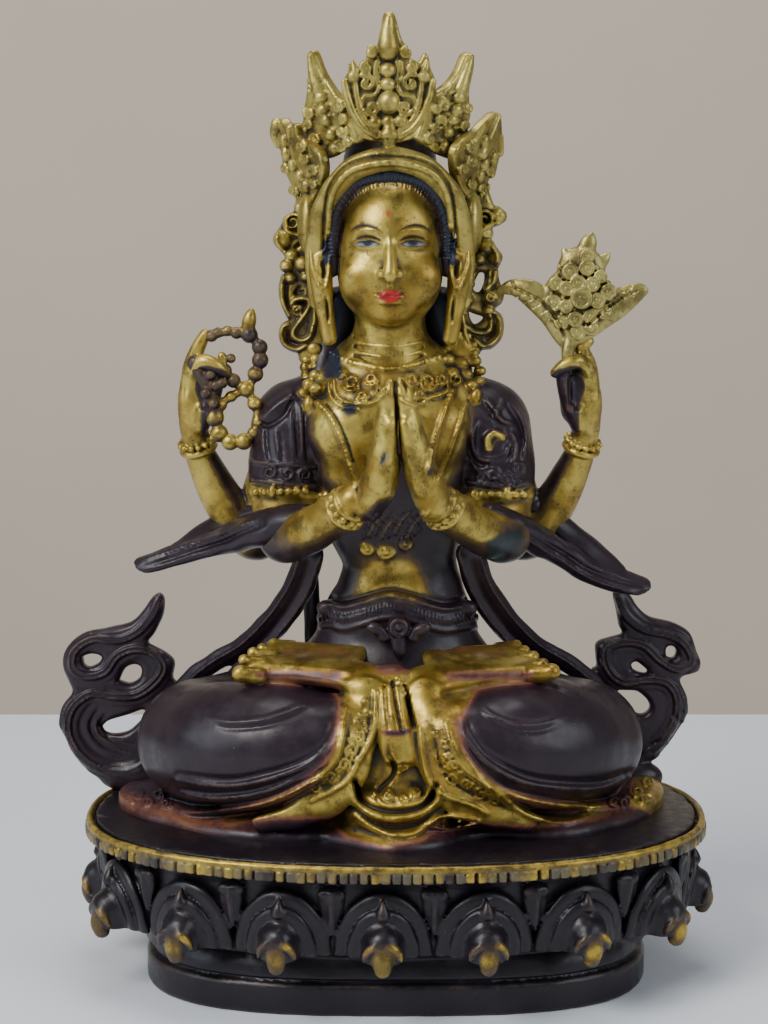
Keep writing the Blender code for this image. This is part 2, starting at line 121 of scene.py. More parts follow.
def spiral(centre, size, start, turns, hand):
    """A scroll in a plane: it winds in from its edge at the start angle, in degrees."""
    tail = 0.25
    rows = []
    count = int(8 * turns) + 2
    for n in range(count):
        share = n / (count - 1)
        angle = math.radians(start) + hand * math.tau * turns * share
        radius = size * (1 - share * (1 - tail))
        rows.append((centre[0] + radius * math.cos(angle), centre[1] + radius * math.sin(angle)))
    return rows


def shifted(rows, gap):
    """A smooth path moved sideways, to the left of its way when the gap is positive."""
    path = smooth_path(rows)
    steps = np.gradient(path, axis=0)
    return path + gap * np.stack([-steps[:, 1], steps[:, 0]], axis=1) / np.maximum(np.hypot(*steps.T),
                                                                                   1e-6)[:, None]


def sided(rows, side, shift=0):
    """Rows given for the right side, taken to either side and then moved sideways."""
    return [(side * across + shift, *rest) for across, *rest in rows]


def round_spots(at, along, radius, count):
    """Points evenly spaced in a ring round a direction."""
    across = along.orthogonal().normalized()
    other = along.cross(across)
    for n in range(count):
        angle = math.tau * n / count
        yield at + radius * (across * math.cos(angle) + other * math.sin(angle))


def disc(u, v, wide, tall, count):
    """The outline of a round or oval spot."""
    return [(u + wide * math.cos(a), v + tall * math.sin(a))
            for a in np.linspace(0, math.tau, count + 1)[:-1]]


# Clay: forms gathered as distances on a grid

class Clay:
    """A block of grid between two corners with one spacing, in millimetres from an origin."""

    def __init__(self, low, high, pitch, origin=FIGURE):
        self.low = np.array(low, float)
        self.pitch = pitch
        self.origin = np.array(origin)
        self.eye = np.array(EYE) - self.origin
        counts = np.ceil((np.array(high) - self.low) / pitch).astype(int) + 1
        self.axes = [(self.low[i] + pitch * np.arange(counts[i])).astype(np.float32) for i in range(3)]
        self.field = np.full(counts, REACH, np.float32)
        self.gold = np.zeros(counts, np.float32)

    def window(self, low, high):
        """The part of the grid between two corners: its slices and its coordinates."""
        cut = tuple(slice(*np.searchsorted(axis, (a, b))) for axis, a, b in zip(self.axes, low, high))
        x, y, z = (axis[part] for axis, part in zip(self.axes, cut))
        return cut, x[:, None, None], y[None, :, None], z[None, None, :]

    def join(self, cut, distance, blend, gold, fade):
        """Adds a form. Where it is the nearer one, its share of gold takes over."""
        old = self.field[cut]
        if old.size == 0:
            return
        if gold is not None:
            nearer = np.clip(0.5 + (old - distance) / (2 * fade), 0, 1)
            self.gold[cut] += (gold - self.gold[cut]) * nearer
        overlap = np.maximum(blend - np.abs(old - distance), 0)
        self.field[cut] = np.minimum(old, distance) - overlap**2 / (4 * blend)

    def carve(self, cut, distance, blend):
        """Takes a form away."""
        old = self.field[cut]
        if old.size == 0:
            return
        overlap = np.maximum(blend - np.abs(old + distance), 0)
        self.field[cut] = np.maximum(old, -distance) + overlap**2 / (4 * blend)

    def ball(self, centre, radii, turn=(0, 0, 0), at=STILL, blend=0.5, gold=None, fade=0.5, above=None,
             cut_out=False):
        """An ellipsoid. Above a height only, where one is given."""
        matrix = at @ Matrix.Translation(centre) @ turned(turn)
        scale = matrix.median_scale
        spin = np.array(matrix.to_3x3()) / scale
        middle = np.array(matrix.translation)
        radii = np.array(radii) * scale
        reach = radii.max() + REACH
        cut, x, y, z = self.window(middle - reach, middle + reach)
        dx, dy, dz = x - middle[0], y - middle[1], z - middle[2]
        if turn == (0, 0, 0) and at is STILL:
            local = (dx, dy, dz)
        else:
            local = [spin[0, i] * dx + spin[1, i] * dy + spin[2, i] * dz for i in range(3)]
        near = np.sqrt(sum((part / r) ** 2 for part, r in zip(local, radii)))
        slope = np.sqrt(sum((part / r**2) ** 2 for part, r in zip(local, radii)))
        distance = (near * (near - 1) / np.maximum(slope, 1e-4)).astype(np.float32)
        if above is not None:
            distance = np.maximum(distance, above - z)
        if cut_out:
            self.carve(cut, distance, blend)
        else:
            self.join(cut, distance, blend, gold, fade)

    def block(self, centre, half, round_by, at=STILL, blend=0.2, gold=None, fade=0.3):
        """A box with rounded edges."""
        matrix = at @ Matrix.Translation(centre)
        spin, middle = np.array(matrix.to_3x3()), np.array(matrix.translation)
        reach = max(half) * 1.8 + 1
        cut, x, y, z = self.window(middle - reach, middle + reach)
        outside, inside = 0, -99.0
        for i in range(3):
            local = spin[0, i] * (x - middle[0]) + spin[1, i] * (y - middle[1]) + spin[2,
                                                                                       i] * (z
                                                                                             - middle[2])
            over = np.abs(local) - half[i] + round_by
            outside = outside + np.maximum(over, 0) ** 2
            inside = np.maximum(inside, over)
        distance = (np.sqrt(outside) + np.minimum(inside, 0) - round_by).astype(np.float32)
        self.join(cut, distance, blend, gold, fade)

    def limb(self, rows, flat=1.0, along=(0, 1, 0), at=STILL, blend=0.5, gold=None, fade=0.5, steps=STEPS,
             above=None):
        """A tube of changing radius through (x, y, z, radius), flattened along one direction."""
        path = smooth_path(rows, steps)
        scale = at.median_scale
        turn = np.array(at.to_3x3())
        spots = path[:, :3] @ turn.T + np.array(at.translation)
        radii = np.maximum(path[:, 3], THINNEST) * scale
        press = np.array(along, float) @ turn.T
        press = press / np.linalg.norm(press)
        gain = 1 / flat - 1
        low, high = (spots - radii[:, None]).min(axis=0), (spots + radii[:, None]).max(axis=0)
        cut, x, y, z = self.window(low - REACH, high + REACH)
        if self.field[cut].size == 0:
            return
        if gain:
            pressed = (x * press[0] + y * press[1] + z * press[2]) * gain
            px, py, pz = (c + n * pressed for c, n in zip((x, y, z), press))
            ends = spots + np.outer(spots @ press * gain, press)
        else:
            px, py, pz = np.broadcast_arrays(x, y, z)
            ends = spots
        best = np.full(self.field[cut].shape, 2 * REACH, np.float32)
        first = [part.start for part in cut]
        for i in range(len(spots) - 1):
            widest = max(radii[i], radii[i + 1]) + REACH
            low = np.minimum(spots[i], spots[i + 1]) - widest
            high = np.maximum(spots[i], spots[i + 1]) + widest
            part = tuple(
                slice(*np.maximum(np.searchsorted(axis, (a, b)) - start, 0))
                for axis, a, b, start in zip(self.axes, low, high, first)
            )
            a, step = ends[i], ends[i + 1] - ends[i]
            dx, dy, dz = px[part] - a[0], py[part] - a[1], pz[part] - a[2]
            length = max(step @ step, 1e-9)
            share = np.clip((dx * step[0] + dy * step[1] + dz * step[2]) / length, 0, 1)
            gap = np.sqrt((dx - share * step[0]) ** 2 + (dy - share * step[1]) ** 2
                          + (dz - share * step[2]) ** 2)
            gap -= radii[i] + share * (radii[i + 1] - radii[i])
            best[part] = np.minimum(best[part], gap * min(flat, 1.0))
        if above is not None:
            best = np.maximum(best, above - z)
        self.join(cut, best, blend, gold, fade)

    def band(self, rows, radius, **options):
        """A limb of one radius through (x, y, z)."""
        self.limb([(*row[:3], radius) for row in rows], **options)

    def hoop(self, centre, normal, radius, thick, **options):
        """A ring."""
        normal = Vector(normal).normalized()
        across = normal.orthogonal().normalized()
        other = normal.cross(across)
        sides = 16
        rows = []
        for n in range(sides + 1):
            angle = math.tau * n / sides
            spot = Vector(centre) + across * radius * math.cos(angle) + other * radius * math.sin(angle)
            rows.append((*spot, thick))
        self.limb(rows, steps=2, **options)

    def mound(self, outline, edge, slope, most, blend=1.0, gold=None, fade=1.0, floor=0.0):
        """A low rise over an outline of (x, y): as high as edge at its rim, and rising inward."""
        outline = np.array(outline, float)
        low, high = outline.min(axis=0), outline.max(axis=0)
        top = edge + most
        cut, x, y, z = self.window((*(low - REACH), floor - REACH), (*(high + REACH), top + REACH))
        x, y = x[:, :, 0], y[:, :, 0]
        gap = outline_gap(outline, x, y)
        height = edge + most * (1 - np.exp(np.minimum(gap, 0) * slope / most))
        rise = (z - height[:, :, None]) * 0.9
        distance = np.maximum(np.maximum(gap[:, :, None], rise), floor - z).astype(np.float32)
        rounding = np.sqrt(np.maximum(gap[:, :, None] + 1, 0) ** 2 + np.maximum(rise + 1, 0) ** 2) - 1
        distance = np.maximum(distance, np.minimum(rounding, REACH)).astype(np.float32)
        self.join(cut, distance, blend, gold, fade)

    def plate(self, outline, y, half, rounding=1.0, blend=0.3, gold=DARK, holes=()):
        """A flat form over an outline of (x, z), with its edges rounded."""
        outline = smooth_path([*outline, outline[0]], 4)
        low, high = outline.min(axis=0) - REACH, outline.max(axis=0) + REACH
        cut, x, depth, z = self.window((low[0], y - half - REACH, low[1]),
                                       (high[0], y + half + REACH, high[1]))
        x, z = x[:, :, 0], z[0]
        gap = outline_gap(outline, x, z)
        for hole in holes:
            gap = np.maximum(gap, -outline_gap(smooth_path([*hole, hole[0]], 4), x, z))
        side = gap[:, None, :] + rounding
        face = np.abs(depth - y) - half + rounding
        distance = np.hypot(np.maximum(side, 0), np.maximum(face, 0)) + np.minimum(np.maximum(side,
                                                                                              face),
                                                                                   0) - rounding
        self.join(cut, distance.astype(np.float32), blend, gold, 0.5)

    def seen(self, x, y, z):
        """Where points show on the upright middle plane, from the eye."""
        near = -self.eye[1] / (y - self.eye[1])
        return self.eye[0] + (x - self.eye[0]) * near, self.eye[2] + (z - self.eye[2]) * near

    def ahead(self, rows, margin, y):
        """The part of the grid in front of and around some seen points, between two depths."""
        rows = np.array(rows, float)
        low, high = rows.min(axis=0) - margin, rows.max(axis=0) + margin
        corners = [(u, v, depth) for u in (low[0], high[0]) for v in (low[1], high[1]) for depth in y]
        spots = np.array([self.behind(u, v, depth) for u, v, depth in corners])
        cut, x, y, z = self.window(spots.min(axis=0), spots.max(axis=0))
        return cut, *self.seen(x, y, z)

    def behind(self, u, v, y):
        """The point that shows at (u, v) at this depth."""
        far = (y - self.eye[1]) / -self.eye[1]
        return (self.eye[0] + (u - self.eye[0]) * far, y, self.eye[2] + (v - self.eye[2]) * far)

    def press(self, rows, width, depth, y=(-60.0, 0.0), taper=0.0, steps=5):
        """Presses a line into the front along seen points. A negative depth raises it."""
        path = smooth_path(rows, steps)
        cut, u, v = self.ahead(path, width, y)
        if self.field[cut].size == 0:
            return
        best = np.zeros(self.field[cut].shape, np.float32)
        count = len(path) - 1
        for i in range(count):
            a, step = path[i], path[i + 1] - path[i]
            low, high = np.minimum(a, a + step) - width, np.maximum(a, a + step) + width
            columns = np.nonzero(((u > low[0]) & (u < high[0])).any(axis=(1, 2)))[0]
            layers = np.nonzero(((v > low[1]) & (v < high[1])).any(axis=(0, 1)))[0]
            if len(columns) == 0 or len(layers) == 0:
                continue
            i0, i1, k0, k1 = columns[0], columns[-1] + 1, layers[0], layers[-1] + 1
            du, dv = u[i0:i1] - a[0], v[:, :, k0:k1] - a[1]
            share = np.clip((du * step[0] + dv * step[1]) / max(step @ step, 1e-9), 0, 1)
            gap = ((du - share * step[0]) ** 2 + (dv - share * step[1]) ** 2) / width**2
            fullness = math.sin(math.pi * (i + 0.5) / count) ** taper
            part = best[i0:i1, :, k0:k1]
            np.maximum(part, np.maximum(1 - gap, 0) ** 2 * fullness, out=part)
        self.field[cut] += depth * best

    def tint(self, outline, gold, fade=1.0, y=(-60.0, 4.0)):
        """Paints the front inside a seen outline, fading over its edge."""
        outline = np.array(outline, float)
        cut, u, v = self.ahead(outline, fade, y)
        if self.gold[cut].size == 0:
            return
        share = np.clip(0.5 - outline_gap(outline, u, v) / (2 * fade), 0, 1)
        self.gold[cut] += (gold - self.gold[cut]) * share

    def seat(self, u, v):
        """The point of the surface that shows at (u, v)."""
        depths = np.arange(self.axes[1][0], self.axes[1][-1], self.pitch * 0.5)
        ray = self.behind(u, v, depths)
        cells = [np.round((line - low) / self.pitch).astype(int) for line, low in zip(ray, self.low)]
        cells = [np.clip(line, 0, size - 1) for line, size in zip(cells, self.field.shape)]
        solid = np.nonzero(self.field[tuple(cells)] < 0)[0]
        at = depths[solid[0]] if len(solid) else 0.0
        return Vector(self.behind(u, v, at))

    def string(self, rows, gap, radius, sink):
        """Gold beads along a path of seen points, sunk into the front by a share of their radius."""
        for spot in [self.seat(u, v) for u, v in evenly(rows, gap)]:
            spot.y += radius * sink
            self.ball(spot, (radius, radius, radius), gold=GOLD, blend=0.15, fade=0.2)

    def lace(self, rows, radius, sink):
        """A fine gold cord laid on the front along seen points."""
        spots = [self.seat(u, v) + Vector((0, radius * sink, 0)) for u, v in smooth_path(rows, 6)]
        self.limb([(*spot, radius) for spot in spots], gold=GOLD, blend=0.2, fade=0.2, steps=2)

    def skin(self, name, material, paint=None):
        """Makes the mesh, with its share of gold and how hollow it is at each point."""
        x, y, z = self.axes[0][:, None, None], self.axes[1][None, :, None], self.axes[2][None, None, :]
        # A faint unevenness, as a casting has
        ripple = 0.045 * np.sin(0.8 * x + 0.3 * y) * np.sin(0.75 * y + 0.2 * z) + 0.03 * np.sin(0.9 * z
                                                                                                + 0.5 * x)
        self.field += ripple.astype(np.float32)
        # A form that runs off the grid is closed flat there
        for axis in range(3):
            for end in (0, -1):
                edge = tuple(end if i == axis else slice(None) for i in range(3))
                self.field[edge] = np.maximum(self.field[edge], 0.5 * self.pitch)
        spots, quads = surface_nets(self.field)
        hollow = np.zeros(len(spots))
        for size, share in ((0.7, 0.5), (1.8, 0.5)):
            cells = max(int(round(size / self.pitch)), 1)
            hollow += share * sampled(blurred(self.field, cells), spots) / (cells * self.pitch * 0.5)
        gold = sampled(self.gold, spots)
        verts = self.low + spots * self.pitch
        colours = np.zeros((len(verts), 4))
        if paint is not None:
            paint(verts, colours)
        mesh_piece(name, (verts + self.origin) * MM, quads, material, gold, hollow, colours)


def outline_gap(outline, u, v):
    """Distance to a closed outline, negative inside it."""
    gap = np.full(np.broadcast_shapes(u.shape, v.shape), 1e4, np.float32)
    inside = np.zeros(gap.shape, bool)
    for a, b in zip(outline, np.roll(outline, -1, axis=0)):
        step = b - a
        share = np.clip(((u - a[0]) * step[0] + (v - a[1]) * step[1]) / max(step @ step, 1e-9), 0, 1)
        gap = np.minimum(gap, (u - a[0] - share * step[0]) ** 2 + (v - a[1] - share * step[1]) ** 2)
        if a[1] != b[1]:
            inside ^= ((a[1] > v) != (b[1] > v)) & (u < a[0] + (v - a[1]) * step[0] / step[1])
    gap = np.sqrt(gap)
    return np.where(inside, -gap, gap)


def surface_nets(field):
    """Points and quads of the surface where the field crosses zero, in grid steps."""
    inside = field < 0
    strides = np.array([field.shape[1] * field.shape[2], field.shape[2], 1])
    cells, crossings = [], []
    for axis in range(3):
        u, v = (axis + 1) % 3, (axis + 2) % 3
        near = tuple(slice(0, -1) if i == axis else slice(1, -1) for i in range(3))
        far = tuple(slice(1, None) if i == axis else slice(1, -1) for i in range(3))
        lower = np.argwhere(inside[near] != inside[far])
        lower[:, [u, v]] += 1
        upper = lower.copy()
        upper[:, axis] += 1
        before, after = field[tuple(lower.T)], field[tuple(upper.T)]
        crossing = lower.astype(float)
        crossing[:, axis] += before / (before - after)
        first = lower @ strides
        ring = np.stack([first, first - strides[u], first - strides[u] - strides[v], first - strides[v]],
                        axis=1)
        ring[before > 0] = ring[before > 0][:, ::-1]
        cells.append(ring)
        crossings.append(np.repeat(crossing, 4, axis=0))
    cells = np.vstack(cells)
    crossings = np.vstack(crossings)
    _, index = np.unique(cells.ravel(), return_inverse=True)
    index = index.reshape(-1)
    count = np.bincount(index)
    points = np.stack([np.bincount(index, weights=crossings[:, i]) / count for i in range(3)], axis=1)
    return points, index.reshape(-1, 4)


def sampled(grid, spots):
    """Values of a grid between its points."""
    base = np.clip(np.floor(spots).astype(int), 0, np.array(grid.shape) - 2)
    part = spots - base
    total = np.zeros(len(spots))
    for corner in np.ndindex(2, 2, 2):
        weight = np.prod(np.where(corner, part, 1 - part), axis=1)
        total += weight * grid[tuple((base + corner).T)]
    return total


def blurred(grid, cells):
    """A box average over this many cells each way."""
    for axis in range(3):
        pad = [(cells + 1, cells) if i == axis else (0, 0) for i in range(3)]
        total = np.cumsum(np.pad(grid, pad, mode="edge"), axis=axis, dtype=np.float32)
        ahead = np.take(total, range(2 * cells + 1, total.shape[axis]), axis=axis)
        behind = np.take(total, range(0, total.shape[axis] - 2 * cells - 1), axis=axis)
        grid = (ahead - behind) / (2 * cells + 1)
    return grid


def mesh_piece(name, verts, quads, material, gold, hollow, colours):
    """Makes an object of quads, thinned to the most triangles that its name allows."""
    most = MOST[name]
    mesh = bpy.data.meshes.new(name)
    mesh.vertices.add(len(verts))
    mesh.vertices.foreach_set("co", verts.ravel())
    mesh.loops.add(quads.size)
    mesh.loops.foreach_set("vertex_index", quads.ravel())
    mesh.polygons.add(len(quads))
    mesh.polygons.foreach_set("loop_start", np.arange(0, quads.size, 4))
    mesh.update(calc_edges=True)
    for layer, values in (("gold", gold), ("hollow", hollow)):
        mesh.attributes.new(layer, "FLOAT", "POINT").data.foreach_set("value", values)
    mesh.attributes.new("paint", "FLOAT_COLOR", "POINT").data.foreach_set("color", colours.ravel())
    piece = bpy.data.objects.new(name, mesh)
    bpy.context.scene.collection.objects.link(piece)
    if 2 * len(quads) > most:
        thin = piece.modifiers.new("thin", "DECIMATE")
        thin.ratio = most / (2 * len(quads))
        graph = bpy.context.evaluated_depsgraph_get()
        fewer = bpy.data.meshes.new_from_object(piece.evaluated_get(graph))
        piece.modifiers.remove(thin)
        piece.data = fewer
        bpy.data.meshes.remove(mesh)
        fewer.name = name
    piece.data.shade_smooth()
    piece.data.materials.append(material)
    pieces.append(piece)


# Materials

class Shader:
    """Short names for building a node material."""

    def __init__(self, name):
        self.material = bpy.data.materials.new(name)
        self.material.use_nodes = True
        self.tree = self.material.node_tree
        self.surface = self.tree.nodes["Principled BSDF"]
        self.place = self.tree.nodes.new("ShaderNodeTexCoord").outputs["Object"]

    def link(self, source, target):
        if hasattr(source, "is_output"):
            self.tree.links.new(source, target)
        else:
            target.default_value = source

    def layer(self, name, output="Fac"):
        node = self.tree.nodes.new("ShaderNodeAttribute")
        node.attribute_name = name
        return node.outputs[output]

    def upward(self):
        """How far the surface faces up, from -1 to 1."""
        geometry = self.tree.nodes.new("ShaderNodeNewGeometry")
        split = self.tree.nodes.new("ShaderNodeSeparateXYZ")
        self.link(geometry.outputs["Normal"], split.inputs[0])
        return split.outputs["Z"]

    def noise(self, size, detail=4.0, roughness=0.55):
        """Cloudy noise with patches of this size in millimetres."""
        node = self.tree.nodes.new("ShaderNodeTexNoise")
        node.inputs["Scale"].default_value = 1000.0 / size
        node.inputs["Detail"].default_value = detail
        node.inputs["Roughness"].default_value = roughness
        self.link(self.place, node.inputs["Vector"])
        return node.outputs["Fac"]

    def math(self, kind, a, b=0.0, clamp=False):
        node = self.tree.nodes.new("ShaderNodeMath")
        node.operation = kind
        node.use_clamp = clamp
        self.link(a, node.inputs[0])
        self.link(b, node.inputs[1])
        return node.outputs[0]

    def ease(self, value, low, high, start=0.0, end=1.0):
        """Smooth step of a value from one range to another."""
        node = self.tree.nodes.new("ShaderNodeMapRange")
        node.interpolation_type = "SMOOTHSTEP"
        self.link(value, node.inputs["Value"])
        for key, number in (("From Min", low), ("From Max", high), ("To Min", start), ("To Max", end)):
            node.inputs[key].default_value = number
        return node.outputs["Result"]

    def mix(self, share, a, b):
        node = self.tree.nodes.new("ShaderNodeMix")
        node.data_type = "RGBA"
        self.link(share, node.inputs["Factor"])
        self.link(a, node.inputs["A"])
        self.link(b, node.inputs["B"])
        return node.outputs["Result"]

    def bump(self, height, strength, depth):
        node = self.tree.nodes.new("ShaderNodeBump")
        node.inputs["Strength"].default_value = strength
        node.inputs["Distance"].default_value = depth
        self.link(height, node.inputs["Height"])
        self.link(node.outputs["Normal"], self.surface.inputs["Normal"])


def toned(colour, by):
    """A colour made lighter or darker."""
    return (*(min(c * by, 1.0) for c in colour[:3]), 1.0)


# The two tones where gold fades into lacquer, from the dark side
WARM_FADE = ((0.060, 0.020, 0.020, 1.0), (0.22, 0.088, 0.040, 1.0))
SOOTY_FADE = ((0.030, 0.018, 0.014, 1.0), (0.105, 0.064, 0.022, 1.0))
# The dark of grime, and of the painted shade in hollows
SHADE_AND_SOOT = (0.018, 0.014, 0.009, 1.0)
# Lacquer rubbed thin on raised parts, also standing for a painted highlight there
WORN_AND_LIT_LACQUER = (0.16, 0.095, 0.06, 1.0)
DUST = (0.42, 0.38, 0.36, 1.0)

LACQUER = (0.0130, 0.0064, 0.0108, 1.0)
BASE_LACQUER = (0.0078, 0.0052, 0.0080, 1.0)

METALLIC = 0.78
SPECULAR = 0.32
COAT = 0.11
COAT_ROUGHNESS = 0.22
GRAIN_STRENGTH = 0.35
GRAIN_DEPTH = 0.18 * MM


def painted_brass(name, gold_light, gold_deep, lacquer, grime_and_shade=1.0, settle_and_shade=(-0.04, -0.46),
                  fade=SOOTY_FADE):
    """Gold paint rubbed over dark lacquer, with painted shade: grime and shade lie where the surface is
    hollow, between the two values given for settling, and parts that face down are darker. Raised parts
    get wear and a painted highlight."""
    s = Shader(name)
    clouds = s.noise(9.0)
    stains = s.noise(5.0, detail=5.0, roughness=0.6)
    patches = s.noise(2.4, detail=6.0, roughness=0.65)
    specks = s.noise(0.55, detail=3.0, roughness=0.7)
    hollow = s.layer("hollow")
    gold = s.layer("gold")

    rough_edge = s.math("MULTIPLY", s.math("SUBTRACT", patches, 0.5), 0.44)
    share = s.math("ADD", gold, rough_edge)
    # Less gold in hollows: partly worn paint, partly painted shade
    worn_and_shaded_hollow = s.ease(hollow, -0.30, -0.75, 0.0, 0.25 * grime_and_shade)
    share = s.math("SUBTRACT", share, worn_and_shaded_hollow)
    # Parts that face down lose gold and turn darker: painted shade under things
    share = s.math("SUBTRACT", share, s.ease(s.upward(), -0.05, -0.85, 0.0, 0.34))
    lacquer_tone = s.mix(s.ease(clouds, 0.35, 0.7), lacquer, toned(lacquer, 1.5))
    gold_tone = s.mix(s.ease(clouds, 0.36, 0.66), gold_deep, gold_light)
    gold_tone = s.mix(s.ease(stains, 0.46, 0.66, 0.0, 0.72), gold_tone, toned(gold_deep, 0.36))
    red, copper = fade
    tone = s.mix(s.ease(share, 0.06, 0.30), lacquer_tone, red)
    tone = s.mix(s.ease(share, 0.26, 0.50), tone, copper)
    tone = s.mix(s.ease(share, 0.46, 0.68), tone, gold_tone)
    is_gold = s.ease(share, 0.38, 0.62)

    # Grime and painted shade gather where the surface is hollow; fine pits add real dirt
    settled_and_shaded = s.ease(hollow, *settle_and_shade, 0.0, 0.97)
    settled_and_shaded = s.math("ADD", settled_and_shaded, s.math("MULTIPLY", s.ease(patches, 0.54, 0.70), 0.42))
    settled_and_shaded = s.math("MULTIPLY", settled_and_shaded, grime_and_shade, clamp=True)
    pits = s.math("MULTIPLY", s.ease(specks, 0.575, 0.64), s.ease(stains, 0.40, 0.58))
    dirt_and_shade = s.math("MAXIMUM", settled_and_shaded, s.math("MULTIPLY", pits, 0.85))
    dirt_and_shade = s.math("MULTIPLY", dirt_and_shade, is_gold)
    tone = s.mix(dirt_and_shade, tone, SHADE_AND_SOOT)

    # Raised parts are lighter: worn paint and a painted highlight, brown on the lacquer and pale on the
    # gold
    rubbed_and_lit = s.math("MULTIPLY", s.ease(hollow, 0.30, 0.75), s.ease(patches, 0.40, 0.60))
    not_gold = s.math("SUBTRACT", 1.0, is_gold)
    rubbed_and_lit_dark = s.math("MULTIPLY", rubbed_and_lit, not_gold)
    tone = s.mix(s.math("MULTIPLY", rubbed_and_lit_dark, 0.35), tone, WORN_AND_LIT_LACQUER)
    rubbed_and_lit_gold = s.math("MULTIPLY", rubbed_and_lit, is_gold)
    tone = s.mix(s.math("MULTIPLY", rubbed_and_lit_gold, 0.6), tone, toned(gold_light, 1.35))
    dust = s.math("MULTIPLY", s.ease(s.noise(0.32, detail=2.0), 0.735, 0.78), not_gold)
    tone = s.mix(s.math("MULTIPLY", dust, 0.55), tone, DUST)

    drop = s.layer("paint", "Alpha")
    tone = s.mix(drop, tone, s.layer("paint", "Color"))
    s.link(tone, s.surface.inputs["Base Color"])
    metal = s.math("MULTIPLY", is_gold, s.math("SUBTRACT", 1.0, s.math("MULTIPLY", dirt_and_shade, 0.85)))
    metal = s.math("MULTIPLY", metal, s.math("SUBTRACT", 1.0, drop))
    s.link(s.math("MULTIPLY", metal, METALLIC), s.surface.inputs["Metallic"])
    rough = s.math("ADD", s.ease(patches, 0.3, 0.7, 0.30, 0.46), s.math("MULTIPLY", dirt_and_shade, 0.28))
    s.link(rough, s.surface.inputs["Roughness"])
    s.surface.inputs["Specular IOR Level"].default_value = SPECULAR
    s.surface.inputs["Coat Weight"].default_value = COAT
    s.surface.inputs["Coat Roughness"].default_value = COAT_ROUGHNESS
    grain = s.math("ADD", s.math("MULTIPLY", patches, 0.6), s.math("MULTIPLY", specks, 0.4))
    s.bump(grain, GRAIN_STRENGTH, GRAIN_DEPTH)
    return s.material


brass = painted_brass("gold_over_lacquer", (0.52, 0.385, 0.076, 1.0), (0.31, 0.190, 0.026, 1.0), LACQUER,
                      fade=WARM_FADE)
skin_brass = painted_brass("gold_skin", (0.53, 0.40, 0.085, 1.0), (0.31, 0.195, 0.028, 1.0), LACQUER)
pale_brass = painted_brass("pale_gilt", (0.54, 0.44, 0.115, 1.0), (0.32, 0.235, 0.048, 1.0), LACQUER,
                           settle_and_shade=(0.03, -0.38))
lotus_gilt = painted_brass("lotus_gilt", (0.46, 0.39, 0.125, 1.0), (0.30, 0.24, 0.070, 1.0), LACQUER,
                           grime_and_shade=0.85, settle_and_shade=(-0.04, -0.50))
base_coat = painted_brass("base_lacquer", (0.46, 0.32, 0.05, 1.0), (0.20, 0.14, 0.035, 1.0), BASE_LACQUER)


# Lotus base, in millimetres from the table

RIM = (69.0, 46.0, 2.3)
FOOT = (55.5, 36.4, 2.9)
BASE_HEIGHT = FIGURE[2]
PETALS = 16
PETAL_OVAL = (63.4, 40.4, 2.3)
PETAL_START = -2.8
PETAL_FOOT = 16.0
BLOCKS = 168
BLOCK_OVAL = (RIM[0] - 1.3, RIM[1] - 1.3, RIM[2])
LIP_OVAL = (RIM[0] - 0.9, RIM[1] - 0.9, RIM[2])
LIP_POINTS = 120
WORN_BLOCKS = 46
TARNISH = (0.105, 0.090, 0.055)


def oval_gap(x, y, oval):
    """How far outside an oval each point is."""
    a, b, power = oval
    u, v = np.abs(x) / a + 1e-6, np.abs(y) / b + 1e-6
    q = (u**power + v**power) ** (1 / power)
    slope = np.sqrt((u ** (power - 1) / a) ** 2 + (v ** (power - 1) / b) ** 2) * q ** (1 - power)
    return (q - 1) / np.maximum(slope, 1e-4)


def oval_places(count, oval, start=0.0):
    """Points evenly spaced along an oval, from the middle of the front plus a start in millimetres.
    Each has the way out, in radians."""
    a, b, power = oval
    angle = np.linspace(0, math.tau, 5761) - math.pi / 2
    cos, sin = np.cos(angle), np.sin(angle)
    line = np.stack([a * np.sign(cos) * np.abs(cos) ** (2 / power),
                     b * np.sign(sin) * np.abs(sin) ** (2 / power)], axis=1)
    along = np.concatenate([[0], np.cumsum(np.linalg.norm(np.diff(line, axis=0), axis=1))])
    spots = (np.linspace(0, along[-1], count, endpoint=False) + start) % along[-1]
    points = np.stack([np.interp(spots, along, line[:, i]) for i in range(2)], axis=1)
    u, v = np.abs(points[:, 0]) / a, np.abs(points[:, 1]) / b
    way = np.arctan2(np.sign(points[:, 1]) * v ** (power - 1) / b,
                     np.sign(points[:, 0]) * u ** (power - 1) / a)
    return list(zip(points[:, 0], points[:, 1], way))


